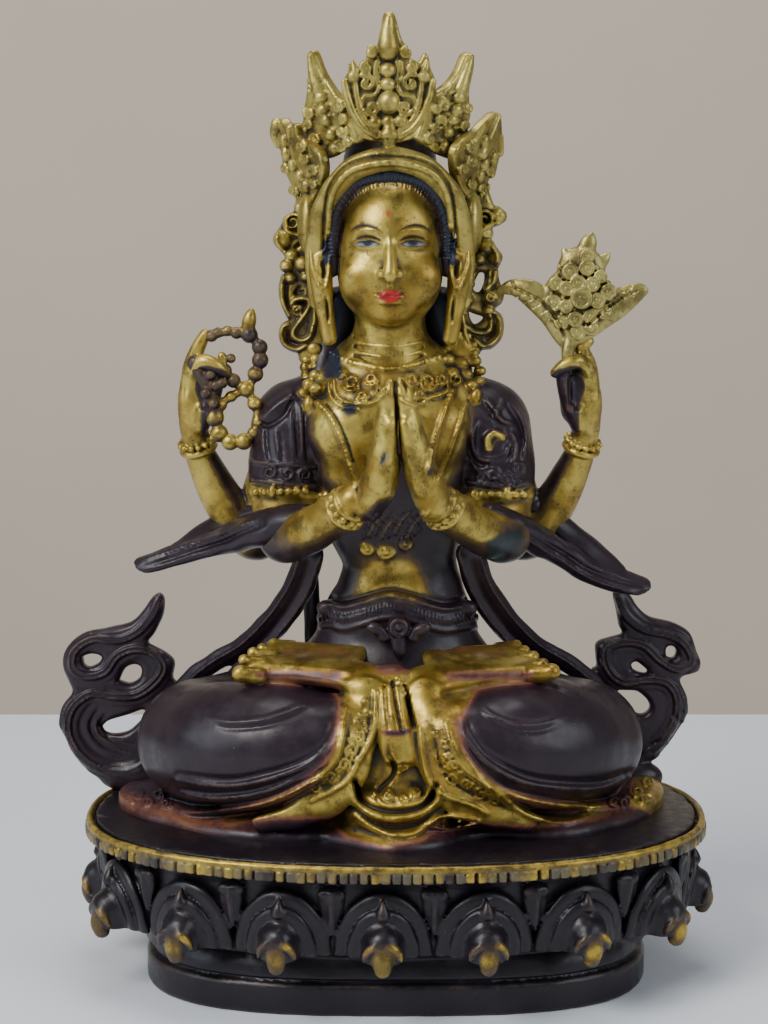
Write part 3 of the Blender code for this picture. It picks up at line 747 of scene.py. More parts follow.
def petal(clay, at, worn):
    """One petal: wide arches stepped one in front of the other, and a knob that droops under a hood."""
    foot = PETAL_FOOT
    clay.ball((-2.0, 0, foot), (4.0, 10.0, 12.8), at=at, blend=0.3, gold=DARK, above=foot)
    for out, half, tall, wide in ((0.6, 8.3, 10.9, 2.0), (2.0, 5.7, 8.0, 1.9), (3.0, 3.4, 5.6, 1.7)):
        rim = [(out + 0.9 - 2.2 * (t / 90) ** 2, half * math.sin(math.radians(t)),
                foot + tall * math.cos(math.radians(t))) for t in range(-102, 103, 12)]
        clay.band(rim, wide, at=at, flat=0.5, along=(1, 0, 0), blend=0.15, gold=DARK, steps=2,
                  above=foot - 1.2)
    clay.limb([(3.4, 0, foot + 8.6, 1.6), (3.3, 0, foot + 10.2, 0.9), (2.9, 0, foot + 11.6, 0.3)], at=at,
              blend=0.3, gold=DARK)
    clay.ball((2.6, 0, foot + 0.8), (4.0, 4.4, 6.4), at=at, blend=0.3, gold=DARK, above=foot - 1.4)
    clay.ball((4.3, 0, foot + 2.8), (3.0, 3.7, 3.5), at=at, blend=0.6, gold=DARK)
    clay.limb([(5.2, 0, foot + 2.4, 1.9), (5.7, 0, foot - 0.2, 2.2), (5.4, 0, foot - 2.2, 1.8)], at=at,
              blend=0.3, gold=worn, fade=0.8)
    for side in (-1, 1):
        wing = [(5.9, side * 0.4, foot + 3.3, 0.6), (6.5, side * 1.8, foot + 2.8, 0.95),
                (6.1, side * 3.2, foot + 1.4, 0.9)]
        clay.limb([*wing, (5.4, side * 3.9, foot - 0.4, 0.4)], at=at, blend=0.3,
                  gold=worn * (0.72 + 0.2 * side), fade=0.4)


def bud(clay, at):
    """The flat fan that fills the gap between two petals."""
    top = PETAL_FOOT + 11.4
    clay.limb([(1.3, 0, top, 3.0), (1.2, 0, top - 2.6, 2.3), (0.7, 0, top - 7.5, 0.5)], at=at, flat=0.36,
              along=(1, 0, 0), blend=0.2, gold=DARK, steps=6)
    clay.limb([(2.0, 0, top + 1.2, 1.0), (1.9, 0, top - 2.2, 0.8), (1.2, 0, top - 6.5, 0.3)], at=at,
              blend=0.5, gold=DARK)
    for side in (-1, 1):
        clay.ball((1.7, side * 1.5, top + 1.0), (1.0, 1.5, 1.4), at=at, blend=0.3, gold=DARK)


def lotus_base():
    clay = Clay((-72, -49, -1.5), (72, 49, 37.8), 0.42, TABLE)
    z = clay.axes[2][None, None, :]
    flat_x, flat_y = clay.axes[0][:, None], clay.axes[1][None, :]
    rim_gap = oval_gap(flat_x, flat_y, RIM)[:, :, None].astype(np.float32)
    foot_gap = oval_gap(flat_x, flat_y, FOOT)[:, :, None].astype(np.float32)
    line = clay.axes[2]
    drum = np.interp(line, *zip((8, 13), (12, 12), (16, 9), (24, 6.4), (29, 5.4), (31, 4.4), (32, 2.6),
                                (36, 2.3)))
    foot = np.interp(line, *zip((0, 0.5), (0.7, 0), (6.2, 0), (6.9, 0.6), (7.3, 1.9), (7.8, 1.2),
                                (10, 1.7), (12, 2.6), (13.6, 4.2), (15, 7), (17, 14)))
    body = np.maximum(rim_gap + drum, np.maximum(z - BASE_HEIGHT, 8 - z))
    plinth = np.maximum(foot_gap + foot, np.maximum(z - 17, -z))
    clay.field = np.clip(np.minimum(body, plinth), -REACH, REACH).astype(np.float32)

    for n, (px, py, way) in enumerate(oval_places(PETALS * 2, PETAL_OVAL, PETAL_START)):
        at = Matrix.Translation((px, py, 0)) @ Matrix.Rotation(way, 4, "Z")
        if n % 2:
            bud(clay, at)
        else:
            petal(clay, at, 0.86 if n == 0 else chance.uniform(0.46, 0.72))

    # The rim: a thin lip over a row of small blocks, some worn away
    lip_radius = 0.85
    lip = [(px, py, BASE_HEIGHT - lip_radius) for px, py, _ in oval_places(LIP_POINTS, LIP_OVAL)]
    clay.band([*lip, lip[0]], lip_radius, blend=0.6, gold=GOLD, steps=1)
    blocks = oval_places(BLOCKS, BLOCK_OVAL)
    worn = set(chance.choice(BLOCKS, WORN_BLOCKS, replace=False).tolist()) | {BLOCKS - 5}
    gilt = []
    for n, (px, py, way) in enumerate(blocks):
        at = Matrix.Translation((px, py, 0)) @ Matrix.Rotation(way + chance.uniform(-0.12, 0.12), 4, "Z")
        size = (1.25, chance.uniform(0.84, 1.03), chance.uniform(1.0, 1.2))
        clay.block((0.25, chance.uniform(-0.1, 0.1), 32.95), size, 0.35, at=at, blend=0.15)
        gilt.append((px, py, chance.uniform(0.0, 0.40) if n in worn else chance.uniform(0.46, 0.86)))
    # Gold paint on the blocks and the lip
    edge = (rim_gap > -2.0) & (z > 31.75)
    nearest = np.zeros((len(flat_x), flat_y.shape[1]), np.float32)
    best = np.full(nearest.shape, 99.0)
    for px, py, share in gilt:
        i, j = (slice(*np.searchsorted(axis, (c - 4, c + 4))) for axis, c in zip(clay.axes, (px, py)))
        gap = (flat_x[i] - px) ** 2 + (flat_y[:, j] - py) ** 2
        closer = gap < best[i, j]
        best[i, j][closer] = gap[closer]
        nearest[i, j][closer] = share
    shares = np.where(z > BASE_HEIGHT - 1.5, 0.62, nearest[:, :, None])
    clay.gold = np.where(edge, shares, clay.gold).astype(np.float32)
    return clay


def tarnished(blocks):
    """A painter that dulls the rim's blocks, some more than others."""
    places = np.array([(px, py) for px, py, _ in blocks])
    dullness = chance.uniform(0.0, 0.9, len(blocks))

    def paint(verts, colours):
        low, high = 31.6, BASE_HEIGHT - 0.7
        outer = oval_gap(verts[:, 0], verts[:, 1], RIM) > -2.4
        edge = np.nonzero((verts[:, 2] > low) & (verts[:, 2] < high) & outer)[0]
        nearest = np.full(len(edge), 1e9)
        share = np.zeros(len(edge))
        for (px, py), dull in zip(places, dullness):
            gap = (verts[edge, 0] - px) ** 2 + (verts[edge, 1] - py) ** 2
            closer = gap < nearest
            nearest[closer] = gap[closer]
            share[closer] = dull
        colours[edge, :3] = TARNISH
        colours[edge, 3] = share * np.clip((high - verts[edge, 2]) / 0.9, 0, 1)
    return paint


# Legs, feet and robe, in figure millimetres

def leg_forms(clay):
    for side in (-1, 1):
        thigh = [(side * 12, 8, 15, 13), (side * 28, 4, 17, 14), (side * 42, -3, 17, 12.6)]
        clay.limb(thigh, blend=3, gold=DARK, steps=12)
        shin = [(43, -6, 16.5, 12.4), (36, -14, 18, 13.6), (26, -19, 18.5, 13.8), (16, -22, 20, 11.2),
                (10, -23, 23, 8)]
        clay.limb(sided(shin, side), blend=3, gold=DARK, steps=10)
    clay.ball((0, 0, 17), (30, 21, 16), blend=3, gold=DARK)


HEM = [(-61, 12), (-61.4, 6), (-60.2, 0), (-55.1, -9), (-49, -14), (-41, -20.5), (-32, -25.5),
       (-22.5, -27.5), (-15, -26), (-9.5, -29.5), (-4, -33.6), (1, -35.6), (6.2, -34.6), (11.5, -31.5),
       (17, -25.5), (23.7, -23.2), (32, -25), (40.7, -23), (47.7, -17.5), (54.9, -11), (60.2, 0),
       (62, 9), (60.4, 15), (45, 17), (0, 19), (-45, 17), (-57, 16)]

# Folds of the hem under each shin, as seen from the front
LEFT_FOLDS = ([(-11.8, 26.5), (-11.8, 18.1), (-15.2, 12.2), (-20.2, 8.8), (-28.4, 6.2), (-36.7, 4.9),
               (-47, 6.2)], [(-10.6, 22.2), (-11.4, 15.6), (-15.6, 9.6), (-21.8, 5.8), (-30.1, 2.8),
                             (-40.1, 2), (-48.4, 3.4)], [(-16, 7.1), (-21.8, 3.7), (-27.7, 1.1),
                                                         (-36, -0.6), (-44.3, -1), (-48, 0.2)])
RIGHT_FOLDS = ([(16.6, 24), (16.6, 18.1), (18.7, 13.9), (22.9, 9.6), (30.4, 5.8), (38.7, 4.5),
                (46.9, 4.5), (53.5, 6.8)], [(14.6, 18.8), (16.2, 13), (20.4, 7.1), (26.2, 3.2),
                                            (34.5, 1.1), (42.9, 0.2), (50.5, 1.1), (53.6, 4.1)],
               [(24, 2.6), (27.1, 0.7), (32.9, -2.3), (39.6, -3.2), (44.5, -1.5)])
GOLD_ZONE = [(-11.8, 29.1), (-3.6, 29.7), (5.5, 29.7), (14.5, 29.1), (17.8, 25.7), (15.8, 21.5),
             (12.9, 19.8), (15.4, 13), (19.9, 7.6), (25.4, 3.5), (34.6, 0.2), (46.2, 1.5), (46.2, -1.3),
             (34.6, -3.2), (21.3, -3.2), (9.7, -4), (6.4, -7.0), (-1.1, -8.2), (-8.6, -6.2),
             (-11.9, -2.3), (-25.2, -1), (-36, -2.3), (-26.8, 1.0), (-18.5, 5.1), (-11.6, 11.9),
             (-10, 23.2)]
COPPER_ZONE = [(-15.1, 31.6), (37.5, 31.6), (18.6, 26.5), (15.8, 24), (17, 12.2), (25.2, 4.5), (37.7, 1),
               (52.7, 4.5), (54.5, -2.3), (34.6, -5.7), (18, -4.4), (8, -7.6), (-1.1, -9.9),
               (-10.3, -7.6), (-18.6, -2.8), (-36, -5.7), (-45.2, -6.6), (-54.6, -3.3), (-60.4, 2),
               (-49.4, 1.1), (-40.1, -1.5), (-23.5, 2.7), (-14.3, 9.3), (-11.6, 24)]


def scrolls(clay, rows, size, depth, width=0.55, y=(-60.0, 0.0)):
    """Spirals at seen points, winding alternate ways."""
    for n, (u, v) in enumerate(rows):
        hand = 1 if n % 2 else -1
        clay.press(spiral((u, v), size, 90 + 70 * n, 1.3, hand), width, depth, y, steps=2)


def build_robe():
    clay = Clay((-66, -41, -2.5), (67, 26, 49), 0.4)
    leg_forms(clay)
    clay.mound(smooth_path(HEM, 3), 1.3, 0.62, 6.4, blend=2.5, gold=DARK, floor=-2.0)
    # The middle: an apron that ends in a round fold
    apron = [(0, -20, 31, 6), (0.5, -22, 22, 8), (1.5, -20.5, 12, 11.5), (2, -18, 5, 13)]
    clay.limb(apron, flat=0.62, blend=2.0, gold=DARK, steps=10)
    clay.limb([(0.5, -25.5, 31, 3.0), (0.8, -28.6, 25, 3.6), (2, -29.2, 19.5, 3.8)], flat=0.62,
              blend=0.8, steps=8)
    clay.ball((1.5, -25.6, 6.5), (11.4, 6.2, 6.0), blend=1.6)
    for side, shift in ((-1, 0.0), (1, 2.0)):
        strip = [(side * 5 + shift, -24, 31.5, 3.4), (side * 6.4 + shift, -27.4, 25, 3.6),
                 (side * 8 + shift, -29.2, 17, 3.8), (side * 12 + shift, -29.4, 10.6, 3.8),
                 (side * 19 + shift, -28.2, 6.6, 3.2), (side * 27 + shift, -26.6, 4.2, 2.4)]
        clay.limb(strip, flat=0.45, blend=1.0, steps=8)
    clay.ball((1.6, -31.4, 17.0), (4.2, 3.0, 1.2), blend=0.6, cut_out=True)

    # Folds, with a hollow above each
    for folds in (LEFT_FOLDS, RIGHT_FOLDS):
        for n, fold in enumerate(folds):
            clay.press([(u, v + 1.2) for u, v in fold], 1.7, 0.75, taper=0.4, y=(-60, 6))
            clay.press(fold, 1.5, -0.95, taper=0.4, y=(-60, 6))
    clay.press([(u * 0.98, v - 1.6) for u, v in LEFT_FOLDS[2]], 1.6, 0.7, taper=0.5)
    clay.press([(-40.7, 21.1), (-36.6, 19.6), (-29.2, 20), (-23.4, 21.5), (-18, 24)], 1.5, -0.7,
               taper=0.8)
    clay.press([(-40, 19.9), (-36, 18.3), (-29.2, 18.6), (-23.4, 20.1), (-19, 22.2)], 1.2, 0.35,
               taper=0.8)
    clay.press([(19.9, 23.2), (22.8, 20.8), (27.8, 19.1), (33.5, 19.1), (38.1, 20.6)], 1.5, -0.7,
               taper=0.8)
    clay.press([(20.5, 21.6), (23.2, 19.4), (28, 17.7), (33.5, 17.7), (37.1, 19)], 1.2, 0.35, taper=0.8)
    clay.press([(34.5, 31.2), (37.8, 29.6), (43.6, 26.6)], 1.3, -0.7, taper=0.7)
    clay.press([(35.5, 29.0), (38.4, 27.6), (43.0, 25.3)], 1.3, -0.6, taper=0.7)

    # Borders of the two edges that fall from the lap, with scrollwork between
    left_outer = [(-9.8, 22.7), (-10.6, 15.6), (-11.9, 11.3), (-15.2, 7.4), (-22.7, 2.6)]
    left_inner = [(-3.2, 26.5), (-3.4, 21.5), (-4, 16.4), (-6.9, 10.5), (-10.2, 5.4), (-17.7, 1.4)]
    right_inner = [(6.7, 18.1), (7.4, 11.3), (8.8, 6.2), (12.1, 2.8), (18.8, 0.2), (21.8, -1.6)]
    right_outer = [(12.5, 19.4), (13.8, 14.7), (16.7, 8.8), (22.1, 4.5), (27.1, 1.1)]
    right_middle = [(9.6, 18.5), (10.3, 13.9), (12, 8.2), (15.6, 4.7), (21.3, 1.7)]
    for line in (left_outer, left_inner, right_inner, right_outer):
        clay.press(line, 1.0, -0.75, taper=0.2)
    clay.press(right_middle, 0.6, 0.5, taper=0.3)
    scrolls(clay, [(-6.6, 19.8), (-6.9, 16.4), (-8.4, 13.0), (-10.2, 9.6), (-13, 6.9), (-16.4, 4.6)],
            1.55, -0.45, 0.42)
    scrolls(clay, [(12.2, 14.6), (11.6, 11.4), (14.2, 9.4), (13.7, 6.2), (17.2, 5.4), (20.4, 2.9),
                   (23.4, 1.6)], 1.4, -0.45, 0.42)
    scrolls(clay, [(-5.0, 21.6), (-5.3, 18.2), (-6.4, 14.6), (-8.0, 11.2), (-11.2, 8.6), (-14.8, 6.0),
                   (-8.6, 15.0), (-5.6, 24.4)], 0.9, -0.4, 0.35)
    scrolls(clay, [(10.8, 13.0), (13.2, 11.8), (12.2, 8.4), (15.8, 7.4), (19.2, 4.8), (22.2, 3.4),
                   (10.4, 16.6)], 0.9, -0.4, 0.35)

    # Pleats, a bead row and the hollow where they end; painted shade darkens that hollow below
    clay.press([(0.5, 28.6), (1.4, 23.2), (2.6, 17.7)], 0.7, 0.8)
    clay.press([(-1.2, 27.6), (-0.8, 22.2), (-0.2, 18.0)], 0.6, 0.4)
    clay.press([(3.2, 27.8), (4.3, 23.0), (5.4, 18.6)], 0.7, 0.8)
    clay.string([(1.8, 29.4), (3.0, 26.5), (4.1, 22.6)], 1.25, 0.62, sink=0.2)
    clay.press([(-0.7, 14.7), (-0.3, 12.2), (1.1, 9.6), (0.5, 7.1), (-1.9, 4.5), (-3.6, 2)], 0.8, 0.9,
               taper=0.5)
    clay.press([(-0.2, 12.6), (1.9, 9.6), (1.4, 6.6), (-1.0, 4.1)], 1.0, -0.45, taper=0.7)

    # The round fold below: nested crescents with scrolls inside
    clay.press([(-7.9, 6.0), (-6.4, 1.8), (-2.8, -0.4), (1.6, -1.0), (6.6, -0.1), (9.4, 2.4),
                (10.4, 5.0)], 1.1, 1.0)
    clay.press([(-8.6, 4.5), (-7.8, 1.1), (-3.6, -1.9), (1.4, -2.7), (7.2, -1.5), (10.5, 1.1),
                (11.2, 3.7)], 1.3, -1.2, taper=0.3)
    clay.press([(-7.4, -0.4), (-3.6, -3.4), (1.4, -4.5), (6.4, -3.4), (10.0, -0.6)], 1.1, 1.0, taper=0.5)
    clay.press([(-7.8, -1.9), (-3.6, -4.9), (1.4, -6.4), (6.4, -5.5), (10.1, -2.6)], 1.3, -1.0, taper=0.3)
    clay.press([(-3.4, 3.4), (-1.5, 0.6), (3, 0.2), (7.4, 1.6), (8.8, 4.2)], 0.8, -0.6)
    scrolls(clay, [(-0.4, 2.8), (3.0, 2.0), (6.0, 3.4)], 1.35, -0.6)
    clay.press([(8.9, -4), (12.2, -2.1), (18, -2.7), (20.0, -3.6), (13.8, -5.0), (9.2, -4.6)], 0.7, -0.6)
    scrolls(clay, [(12.4, -3.6), (15.4, -3.8)], 0.9, -0.45, 0.45)

    # Corner flaps
    left_flap = [(-61.7, 8), (-59.6, 14), (-54.6, 12.6), (-50.8, 3.8), (-52.2, -8.6), (-57.6, -5.6),
                 (-60.6, 0)]
    right_flap = [(50.5, -1), (52.5, 12), (56.2, 17.5), (60.6, 17.5), (62.4, 9), (60.4, -1), (56, -8),
                  (52, -9.6)]
    clay.mound(smooth_path([*left_flap, left_flap[0]], 3), 2.2, 0.3, 1.2, blend=0.5, gold=0.32, fade=0.8,
               floor=-1.0)
    clay.mound(smooth_path([*right_flap, right_flap[0]], 3), 2.8, 0.5, 2.4, blend=0.6, gold=0.92,
               fade=0.8, floor=-1.0)
    scrolls(clay, [(-58.6, 1.6), (-56.2, 3.2), (-54.0, 1.2), (-51.8, 3.0), (-50.2, 1.0)], 1.3, -0.5,
            0.42, y=(-20, 16))
    scrolls(clay, [(52.6, 1.2), (55.2, 3.8), (57.8, 2.2), (57.6, 5.9), (50.4, 1.4)], 1.5, -0.55, 0.5,
            y=(-20, 20))

    clay.tint(COPPER_ZONE, COPPER, 2.6, y=(-60, 2))
    clay.tint(GOLD_ZONE, GOLD, 2.2, y=(-60, 2))
    # Painted shade in the hollow where the pleats end
    clay.tint([(-2.6, 17.6), (-1.2, 16.4), (1.4, 16.0), (4.4, 16.8), (5.6, 18.2), (1.6, 17.8)], 0.1, 0.6)
    clay.tint([(-10, 36), (12, 36), (9, 32.5), (-7, 32.5)], 0.5, 2.0)
    return clay


LEFT_TOES = [(-31.6, -20, 35.0), (-30.9, -16, 37.1), (-29.2, -12, 37.9), (-27.4, -8, 37.9),
             (-25.1, -4, 38.2)]
RIGHT_TOES = [(34.2, -19, 35.2), (32.5, -15, 36.0), (30.7, -11, 36.8), (28.9, -7, 37.2), (27.4, -3, 37.6)]


def build_feet(clay):
    """The feet lie soles up, with the toes in a row that runs back."""
    left = [(-26, -13, 34.4, 6.6), (-20, -14, 34.4, 6.8), (-12, -17, 34.0, 6.0), (-6, -20, 33.2, 5.0)]
    right = [(28.6, -12, 34.0, 6.6), (22, -13.5, 34.0, 6.8), (14, -16.5, 33.4, 6.0),
             (8, -19.5, 32.4, 5.0)]
    for foot, toes, height in ((left, LEFT_TOES, 36.2), (right, RIGHT_TOES, 35.6)):
        clay.limb(foot, flat=0.40, along=(0, 0, 1), blend=1.6, gold=0.75, fade=1.2, steps=10)
        side = math.copysign(1, foot[0][0])
        slab = Matrix.Translation((side * 17.6 + (side + 1) * 0.9, -12.6,
                                   height)) @ Matrix.Rotation(math.radians(side * 15), 4, "Z")
        slab = slab @ Matrix.Rotation(math.radians(11), 4, "X")
        clay.block((0, 0, 0), (11.6, 7.6, 1.5), 1.2, at=slab, blend=1.2, gold=0.70, fade=0.8)
        clay.ball((side * 7.4 + 0.9, -18.6, height - 1.4), (4.6, 4.4, 2.2), blend=1.4, gold=GOLD)
        for n, (x, y, z) in enumerate(toes):
            size = 1.8 if n == 0 else 1.3
            clay.limb([(x - side * 3.6, y + 0.5, z - 0.6, size), (x, y, z - 0.3, size)], blend=0.2,
                      gold=GOLD, steps=2)
            clay.ball((x + side * 0.4, y - 0.2, z), (size * 1.05, size, size), blend=0.15, gold=GOLD)
    for side, middle in ((-1, 0.0), (1, 2.0)):
        sole = ((25, 37.6), (9, 37.4), (7.6, 34.4), (14, 33.6), (24, 34.2))
        clay.tint(sided(sole, side, middle), 0.54, 1.6, y=(-30, 10))
        clay.press(sided([(24, 35.2), (18, 35.6), (10, 35.2)], side, middle), 1.6, 0.45, y=(-30, 4))
        # A dark band just under each foot: painted shade
        clay.tint(sided([(30, 31.2), (11, 30.8), (11, 29), (30, 29.6)], side, middle), 0.2, 1.0)


# Trunk and arms

CHEST = [(-16.5, 101), (-10, 104), (-7, 112), (6, 112), (9, 104), (16, 101), (17.6, 95), (17.4, 86),
         (15.4, 78), (11, 71), (-10, 70), (-14, 75), (-16.6, 84), (-17.2, 93)]
BELLY = [(-6.6, 56.4), (-4.5, 57.6), (4.2, 57.6), (6.6, 56.0), (9.4, 48.1), (4.9, 46.8), (-0.1, 48.0),
         (-4.4, 47.2), (-8.6, 47.9)]


def build_trunk():
    clay = Clay((-50, -38, 26), (51, 18, 112), 0.4)
    clay.ball((1.5, 2, 32), (22, 15, 11), blend=2, gold=DARK)
    skirt = [(1.5, 2, 30, 20), (1.7, 1.5, 39, 17.4), (2.0, 1.2, 43.5, 15.6), (2.2, 1, 47, 14.2)]
    clay.limb(skirt, flat=0.68, blend=2, gold=DARK, steps=12)
    trunk = [(2.2, 1, 44, 13.4), (2.3, 1, 50, 12.9), (2.2, 0.8, 55, 12.6), (1.8, 0.5, 60, 13.2),
             (0.8, 0, 70, 16.4), (0, 0, 81, 19.4), (-0.2, 0.5, 90, 17.5), (-0.3, 1, 96, 11)]
    clay.limb(trunk, flat=0.68, blend=1.0, gold=DARK, steps=10)
    clay.limb([(-0.3, 0, 92, 11), (-0.1, -1.5, 99, 8.3), (0, -2.5, 106, 7.7), (0, -3, 112, 7.6)],
              blend=2.5, gold=GOLD, steps=8)
    for side in (-1, 1):
        clay.ball((side * 20, 1, 85), (10.4, 9.6, 11.2), blend=2.5, gold=DARK, fade=2)
        clay.ball((side * 14, 2, 92), (9, 8, 6.5), turn=(0, side * 28, 0), blend=2.5, gold=None)
        clay.ball((side * 8.2, -8.8, 86), (8.6, 5.2, 7.4), blend=3.5, gold=None)
    clay.ball((0, 6.5, 80), (21, 6.5, 15), blend=3, gold=DARK)
    clay.tint(CHEST, GOLD, 2.6)
    clay.tint(BELLY, 0.78, 2.6)
    # Painted shade on the chest behind and between the joined hands
    clay.tint([(-5, 78), (1, 84), (3, 84), (9, 78), (9, 68), (-5, 68)], 0.1, 2.0)
    return clay


def build_belt(clay):
    lip = [(-15.4, 46.2), (-13.3, 46.4), (-10.3, 45.6), (-6.1, 46.6), (-2.7, 47.7), (0.6, 48.2),
           (4.2, 47.5), (8.1, 46.2), (12.2, 45.2), (16.2, 45.8), (19.0, 46.2)]
    clay.press([(u, v - 2.5) for u, v in lip], 2.3, -0.9, y=(-60, 2))
    clay.press(lip, 1.2, -1.0, y=(-60, 2))
    clay.press([(u, v + 1.5) for u, v in lip], 1.1, 0.5, y=(-60, 2))
    clay.press([(u, v - 4.9) for u, v in lip], 1.0, -0.6, y=(-60, 2))
    for u, v in evenly(lip, 0.85):
        clay.press([(u, v - 1.7), (u + 0.1, v - 3.6)], 0.32, 0.42, y=(-60, 2), steps=1)
    for side in (-1, 1):
        at = clay.seat(1.6 + side * 15.4, 45.4)
        clay.ball(at, (2.4, 1.8, 1.9), blend=0.6, gold=DARK)
        clay.ball((1.9 + side * 4.6, -12.6, 43.0), (2.6, 1.3, 1.4), turn=(0, side * -24, 0), blend=0.3,
                  gold=DARK)
        clay.ball((1.9 + side * 3.2, -12.6, 41.4), (1.5, 1.2, 1.2), blend=0.3, gold=DARK)
    clay.ball((1.9, -12.4, 43.6), (2.6, 1.6, 2.6), blend=0.3, gold=DARK)
    clay.hoop((1.9, -13.8, 43.6), (0, 1, 0), 1.7, 0.5, blend=0.2)
    clay.ball((1.9, -13.9, 43.6), (0.8, 0.8, 0.8), blend=0.1)
    clay.limb([(1.9, -12.6, 41.2, 1.7), (2.0, -13.0, 38.6, 1.5), (2.1, -13.4, 36.8, 0.6)], flat=0.8,
              blend=0.3, gold=DARK)
    # Ringed beads on the belly, and the fine lattice above them
    for u, v, size in ((-5.0, 58.8, 1.7), (-0.8, 58.2, 2.1), (3.4, 59.9, 1.6)):
        at = clay.seat(u, v)
        clay.ball(at, (size, 1.1, size), blend=0.2, gold=0.82, fade=0.3)
        clay.hoop(at + Vector((0, -0.5, 0)), (0, 1, 0), size * 0.72, 0.35, blend=0.15, gold=0.8)
        clay.ball(at + Vector((0, -0.9, 0)), (size * 0.42,) * 3, blend=0.1, gold=GOLD)
    net = [(-6, 65.7), (-2.7, 68.7), (1.5, 69.9), (6.2, 67), (6.6, 62.7), (4.1, 59.3), (-3.5, 59.7),
           (-6.9, 61.4)]
    clay.tint(net, 0.12, 1.4)
    for n in range(9):
        u, v = -6.2 + 1.45 * n, 60.8 + 0.5 * (n % 3)
        clay.press([(u, v), (u + 1.2, v + 2.6), (u + 3.4, v + 5.2)], 0.4, -0.4, y=(-60, 0))
        clay.press([(u + 1.6, v + 0.6), (u + 0.4, v + 2.4), (u - 1.4, v + 4.0)], 0.34, -0.3, y=(-60, 0))
        if n % 2:
            clay.tint(thread([(u, v), (u + 1.2, v + 2.6), (u + 3.4, v + 5.2)], 0.5), 0.66, 0.2)


def build_necklaces(clay):
    for v, bow in ((105.0, 0.7), (102.9, 0.9), (100.9, 1.2)):
        clay.press([(-7.5, v + 0.5), (-4, v - 0.4 * bow), (-0.6, v - bow * 0.6), (3, v - 0.4 * bow),
                    (6.8, v + 0.5)], 0.8, 0.55)
        clay.press([(-7.5, v - 0.8), (-4, v - 0.4 * bow - 1.2), (-0.6, v - bow - 1.1),
                    (3, v - bow - 1.0), (6.8, v - 0.8)], 0.8, -0.3)
    beads = [(-13, 102.0), (-10.6, 100.8), (-8.1, 99.8), (-4.3, 98.7), (-0.2, 98.4), (4.8, 99.3),
             (10.7, 101.2)]
    clay.string(beads, 0.95, 0.56, sink=0.2)
    # Lace collar
    plate = [(-11.4, 95.6), (-8.6, 93.6), (-4.6, 93.2), (-0.6, 93.4), (3.8, 93.8), (8.2, 94.6),
             (11.6, 95.8)]
    clay.press(plate, 4.2, -0.65)
    for u, v, size in ((-8.4, 95.4, 2.0), (-4.2, 96.2, 1.6), (-6.2, 92.4, 1.4), (-10.6, 97.6, 1.2),
                       (-2.2, 93.6, 1.3)):
        clay.press(spiral((u, v), size, 200, 1.5, 1), 0.45, -0.75, steps=2)
    for u, v, size in ((4.8, 96.1, 1.6), (8.4, 95.7, 2.0), (11.3, 96.2, 1.4), (6.6, 93.0, 1.3),
                       (2.4, 93.8, 1.1)):
        clay.press(spiral((u, v), size, -20, 1.5, -1), 0.45, -0.75, steps=2)
    for line in ([(-12.3, 96.1), (-11.9, 93.1), (-10.2, 91.5), (-6.8, 90.7), (-3.9, 91), (-2.2, 92)],
                 [(-13.4, 95.6), (-13.0, 92.4), (-10.6, 90.3), (-7.2, 89.6)],
                 [(12.6, 97.1), (12.5, 93.6), (8.6, 92.1), (7.2, 90.8), (4.6, 90.6), (2.6, 91.6)]):
        clay.press(line, 0.55, -0.75)
    # Cords from the pendants to the wrists
    for line, size in (([(-15.8, 91), (-13.1, 88.1), (-10.6, 83), (-9, 78), (-7.7, 73.4)], 0.85),
                       ([(13.6, 93.6), (11.6, 88.1), (9.6, 82.2), (8.4, 76)], 0.75),
                       ([(16.6, 90.6), (14.5, 83.9), (12.4, 78), (10.6, 74)], 0.55)):
        clay.press(line, size + 0.3, -0.6)
        clay.string(line, size * 1.25, size * 0.62, sink=0.35)
    clay.press([(-14, 90.6), (-11.5, 87.3), (-9.4, 82.2), (-8.1, 78)], 0.5, 0.35)
    # Pendants from the ears, left then right
    for u, v, size in ((-16.4, 102.8, 1.45), (-18.2, 100.5, 0.95), (-16.1, 100.6, 1.0),
                       (-18.5, 98.8, 0.95), (-16.1, 98.9, 1.0), (-18.4, 97.1, 0.9), (-16.3, 97.1, 1.0),
                       (-17.8, 95.2, 1.0), (-14.9, 93.9, 1.5), (-16.3, 94.1, 1.2), (-18.9, 93.2, 1.0)):
        clay.ball(clay.seat(u, v), (size * 1.35, 1.6, size * 1.15), blend=0.12, gold=GOLD, fade=0.3)
    clay.ball(clay.seat(-17.7, 90.4), (1.35, 1.5, 2.3), blend=0.2, gold=GOLD, fade=0.3)
    at = clay.seat(15.5, 103.0)
    clay.ball(at, (2.9, 1.9, 2.9), blend=0.3, gold=GOLD, fade=0.3)
    for n in range(9):
        angle = math.tau * (n + 0.5) / 9
        clay.ball(at + Vector((3.0 * math.cos(angle), -0.5, 3.0 * math.sin(angle))), (1.0, 1.1, 1.0),
                  blend=0.15, gold=GOLD, fade=0.3)
    for u, v, size in ((12.6, 100.4, 1.3), (15.2, 99.4, 1.6), (18.2, 100.2, 1.4), (19.6, 98.0, 1.1),
                       (13.6, 97.6, 1.2), (16.4, 97.2, 1.4), (19.4, 95.8, 1.0), (17.9, 94.8, 1.2)):
        clay.ball(clay.seat(u, v), (size * 1.3, 1.6, size), blend=0.12, gold=GOLD, fade=0.3)
    clay.ball(clay.seat(18.7, 92.2), (1.3, 1.3, 2.1), turn=(0, 14, 0), blend=0.2, gold=GOLD, fade=0.3)
    clay.press(spiral((14.6, 96.2), 1.5, 100, 1.2, 1), 0.5, -0.8, steps=2)


